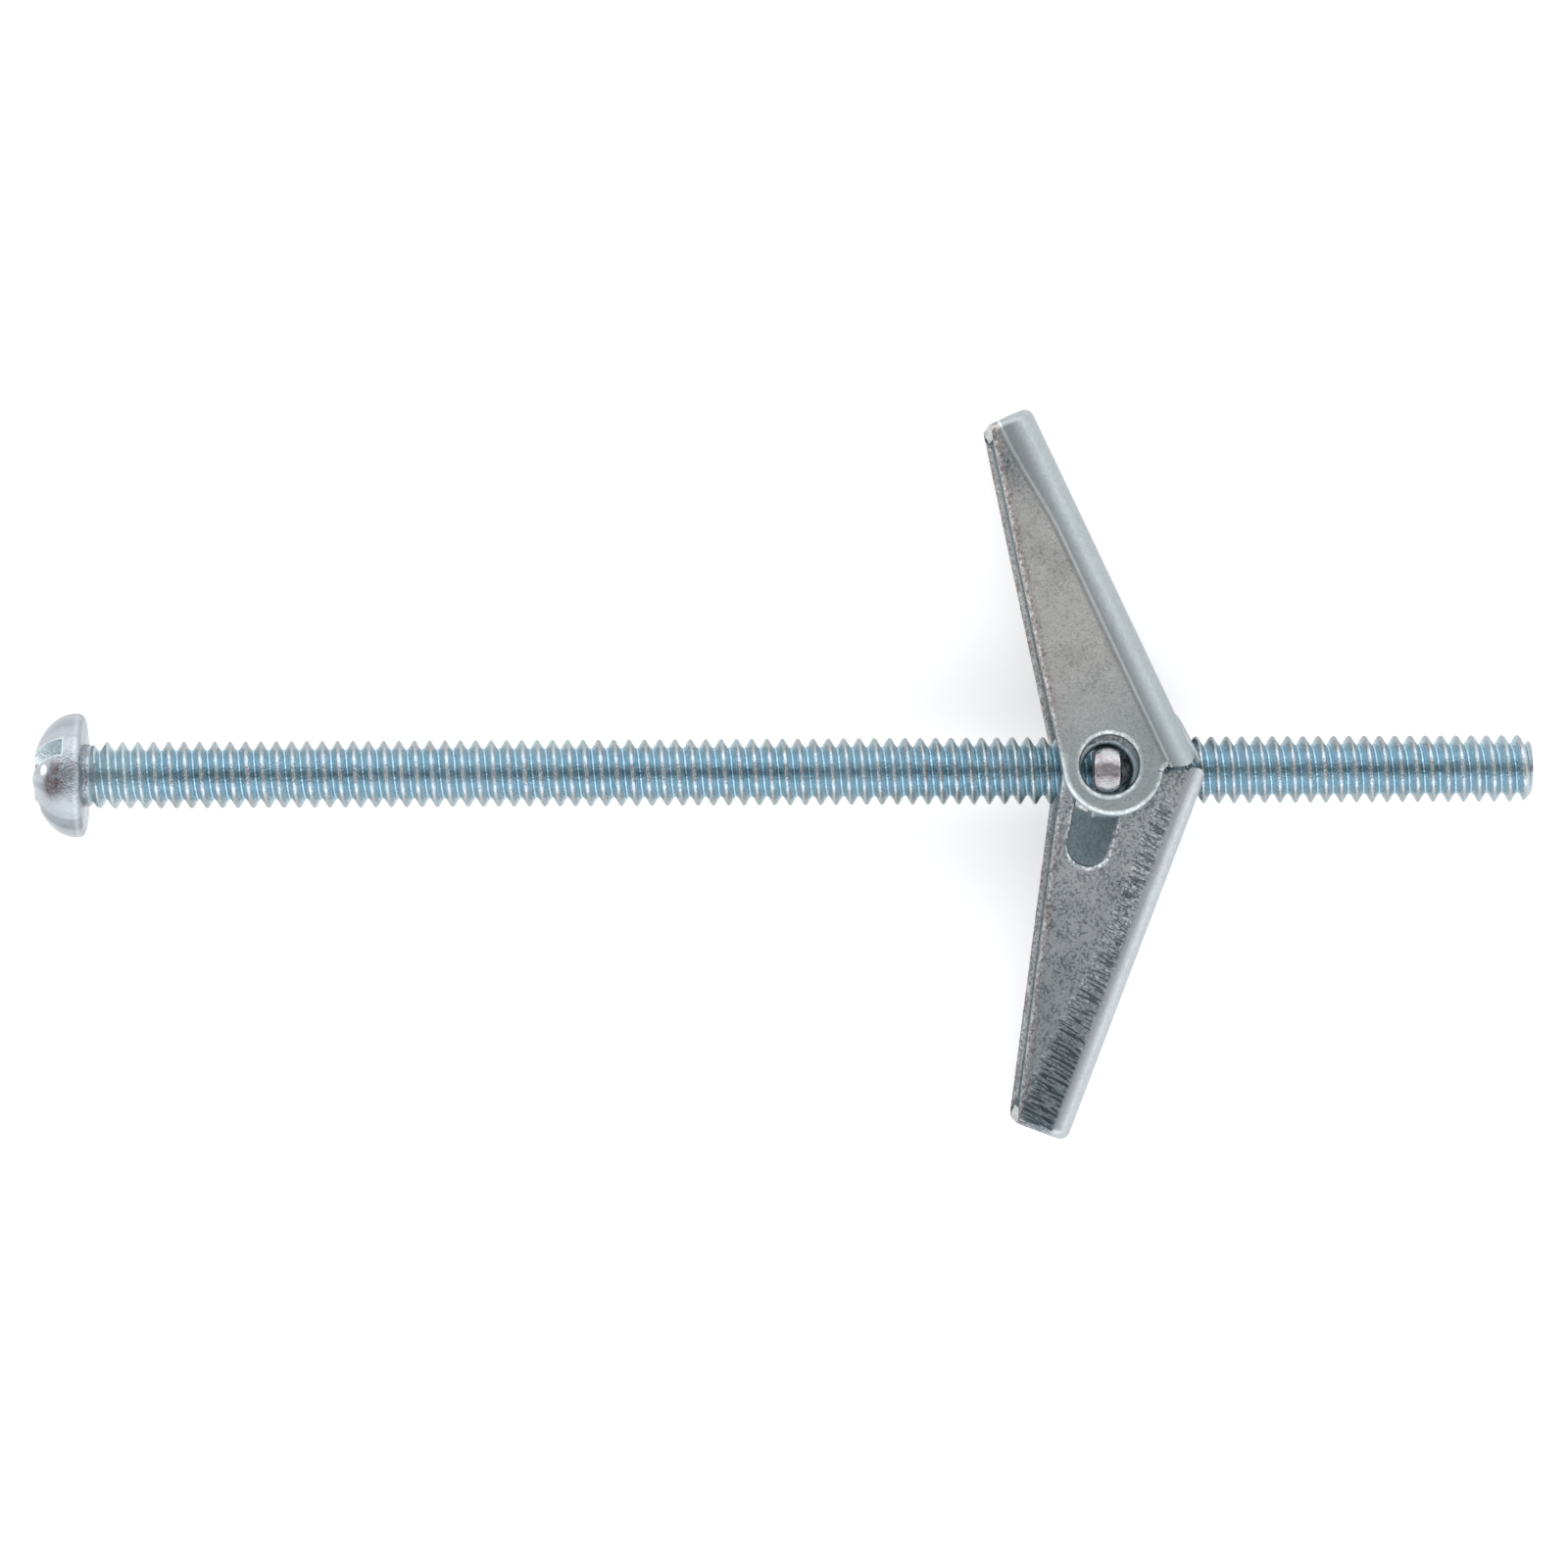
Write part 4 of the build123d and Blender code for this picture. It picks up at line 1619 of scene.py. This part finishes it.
@dataclass
class TorsionSpring:
    """Bent wire: a coil round each arm, a bridge in the upper wing and two free legs in the lower one."""

    pivot: Vector
    upper_lean: float
    lower_lean: float
    wire_radius: float = 0.25
    coil_radius: float = 2.05
    coil_steps: int = 64
    inner_height: float = 3.3
    rise: float = 0.6
    toe_in: float = 12.0
    leg: float = 12.6
    bend: float = 1.2

    def build(self) -> list[Piece]:
        """Builds the coils, which ride on the nut, and the legs and bridge, which ride on the wings.

        Returns:
            The five pieces.
        """
        finish = SpringWire().material()
        start = self.toe_in - self.lower_lean
        end = self.upper_lean - self.toe_in + 360.0
        outer = self.inner_height + self.rise
        shares = [step / self.coil_steps for step in range(self.coil_steps + 1)]
        turns = [(start + (end - start) * share, outer - self.rise * share) for share in shares]
        pieces = []
        for way, label in ((1, "top"), (-1, "bottom")):
            coil = [self.around(turn, way * height) for turn, height in turns]
            pieces.append((self.wire_piece(f"spring_coil_{label}", coil, finish), "trunnion"))
            foot = self.around(start, way * outer)
            free = [foot, foot - self.heading(start + 90.0) * self.leg]
            pieces.append((self.wire_piece(f"spring_leg_{label}", free, finish), "lower_wing"))
        pieces.append((self.wire_piece("spring_bridge", self.bridge(end), finish), "upper_wing"))
        for piece, body in pieces:
            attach(piece, body)
            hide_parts("torsion_spring")
        return [piece for piece, _ in pieces]

    def heading(self, turn: float) -> Vector:
        """Returns the level direction at an angle from the screw's axis."""
        return Vector((cos(radians(turn)), sin(radians(turn)), 0.0))

    def around(self, turn: float, height: float) -> Vector:
        """Returns a point of the coil's centre line."""
        return self.pivot / MM + self.heading(turn) * self.coil_radius + Vector((0, 0, height))

    def bridge(self, end: float) -> list[Vector]:
        """Lays the bridge's route: out along the web, across it and back, with rounded corners.

        Args:
            end: the angle where the coils end.
        Returns:
            The route's points.
        """
        way = self.heading(end + 90.0)
        foot = self.around(end, 0.0)
        reach, height = self.leg - self.bend, self.inner_height - self.bend
        route = [foot + Vector((0, 0, self.inner_height))]
        for start, level in ((90.0, height), (0.0, -height)):
            for forward, upward in arc((reach, 0.0), self.bend, start, start - 90.0, 8):
                route.append(foot + way * forward + Vector((0, 0, upward + level)))
        route.append(foot - Vector((0, 0, self.inner_height)))
        return route

    def wire_piece(self, name: str, route: list[Vector], finish: Material) -> Piece:
        """Lays round wire along a route.

        Args:
            name: the piece's name.
            route: its centre line.
            finish: the wire's material.
        Returns:
            The wire as a mesh.
        """
        curve = bpy.data.curves.new(name, "CURVE")
        curve.dimensions = "3D"
        curve.bevel_depth = self.wire_radius * MM
        curve.bevel_resolution = 5
        curve.use_fill_caps = True
        line = curve.splines.new("POLY")
        line.points.add(len(route) - 1)
        for point, place in zip(line.points, route):
            point.co = (*(place * MM), 1.0)
        source = bpy.data.objects.new(name + "_line", curve)
        bpy.context.scene.collection.objects.link(source)
        bpy.context.view_layer.update()
        mesh = bpy.data.meshes.new_from_object(source.evaluated_get(bpy.context.evaluated_depsgraph_get()))
        bpy.data.objects.remove(source)
        bm = bmesh.new()
        bm.from_mesh(mesh)
        bmesh.ops.scale(bm, vec=(1 / MM, 1 / MM, 1 / MM), verts=bm.verts)
        return make_object(bm, name, finish, 60.0)


@dataclass
class Studio:
    """Floor, soft light and camera."""

    center: Place = (48.2, -0.83, 0.0)
    frame_width: float = 108.3
    distance: float = 450.0
    lean: float = -0.6
    roll: float = 0.284
    floor_half: float = 1500.0
    zenith: float = 0.28
    sides: tuple[Point, ...] = ((0.2, 0.95), (0.36, 1.4), (0.5, 2.2), (0.62, 2.5), (0.78, 1.8), (1.0, 1.15))

    def build(self) -> None:
        """Makes the floor, the light and the camera."""
        self.floor()
        self.light()
        self.camera()

    def floor(self) -> None:
        """Lays a wide pale board just under the part."""
        bm = bmesh.new()
        bmesh.ops.create_grid(bm, x_segments=1, y_segments=1, size=self.floor_half)
        bmesh.ops.translate(bm, vec=(0, 0, CAD_BOX[0][2] / MM), verts=bm.verts)
        make_object(bm, "floor", PaleFloor().material())

    def light(self) -> None:
        """Makes the soft light of a white tent, with bright sides and a darker opening overhead."""
        world = bpy.data.worlds.new("light_tent")
        bpy.context.scene.world = world
        world.use_nodes = True
        sky = Nodes(world.node_tree, "Generated")
        _, y, z = sky.split(sky.places)
        sideways = abs(y).maths("ARCTAN2", z) / (pi / 2)
        levels = ((0.0, self.zenith), (0.09, self.zenith), *self.sides)
        stops = [(position, (level, level, level * 1.01)) for position, level in levels]
        ramp = sky.node("ShaderNodeValToRGB", {"stops": stops}, {"Fac": sideways})
        background = sky.node("ShaderNodeBackground", None, {"Color": ramp.outputs["Color"]})
        sky.node("ShaderNodeOutputWorld", None, {"Surface": background.outputs["Background"]})

    def camera(self) -> None:
        """Sets the camera above the part at the photograph's angle."""
        data = bpy.data.cameras.new("camera")
        data.sensor_fit = "HORIZONTAL"
        data.angle = 2 * atan2(self.frame_width / 2, self.distance)
        data.clip_start = 10 * MM
        camera = bpy.data.objects.new("camera", data)
        bpy.context.scene.collection.objects.link(camera)
        turn = Matrix.Rotation(radians(self.lean), 4, "Y") @ Matrix.Rotation(-radians(self.roll), 4, "Z")
        back = Matrix.Translation((0, 0, self.distance * MM))
        camera.matrix_world = Matrix.Translation(Vector(self.center) * MM) @ turn @ back
        bpy.context.scene.camera = camera
        bpy.context.scene.view_settings.view_transform = "Standard"


def packed_joint(name: str) -> dict:
    """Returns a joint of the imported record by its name."""
    return next(item for item in frame["record"]["behaviour"]["joints"] if item["name"] == name)


def main() -> None:
    """Builds every piece and the studio."""
    logging.basicConfig(level=logging.INFO, format="%(name)s: %(message)s")
    pivot = Vector(packed_joint("upper_wing_fold")["pos_m"])
    upper = Wing(
        Side.UPPER,
        pivot,
        lean=25.1,
        lip_height=0.03,
        zinc=WingZinc((0.64, 0.645, 0.625), dark=(0.20, 0.205, 0.20), mottle=0.65, band=(0.30, 0.34, 0.36)),
    )
    lower = Wing(
        Side.LOWER,
        pivot,
        lean=21.1,
        lip_height=0.3,
        zinc=WingZinc((0.56, 0.585, 0.60), dark=(0.10, 0.12, 0.14), mottle=0.8, band=(0.46, 0.49, 0.515)),
    )
    for assembly in (Screw(), upper, lower, TrunnionNut(pivot), TorsionSpring(pivot, upper.lean, lower.lean)):
        for piece in assembly.build():
            log.info("%s: %d faces", piece.name, len(piece.data.polygons))
    Studio().build()


if __name__ == "__main__":
    main()
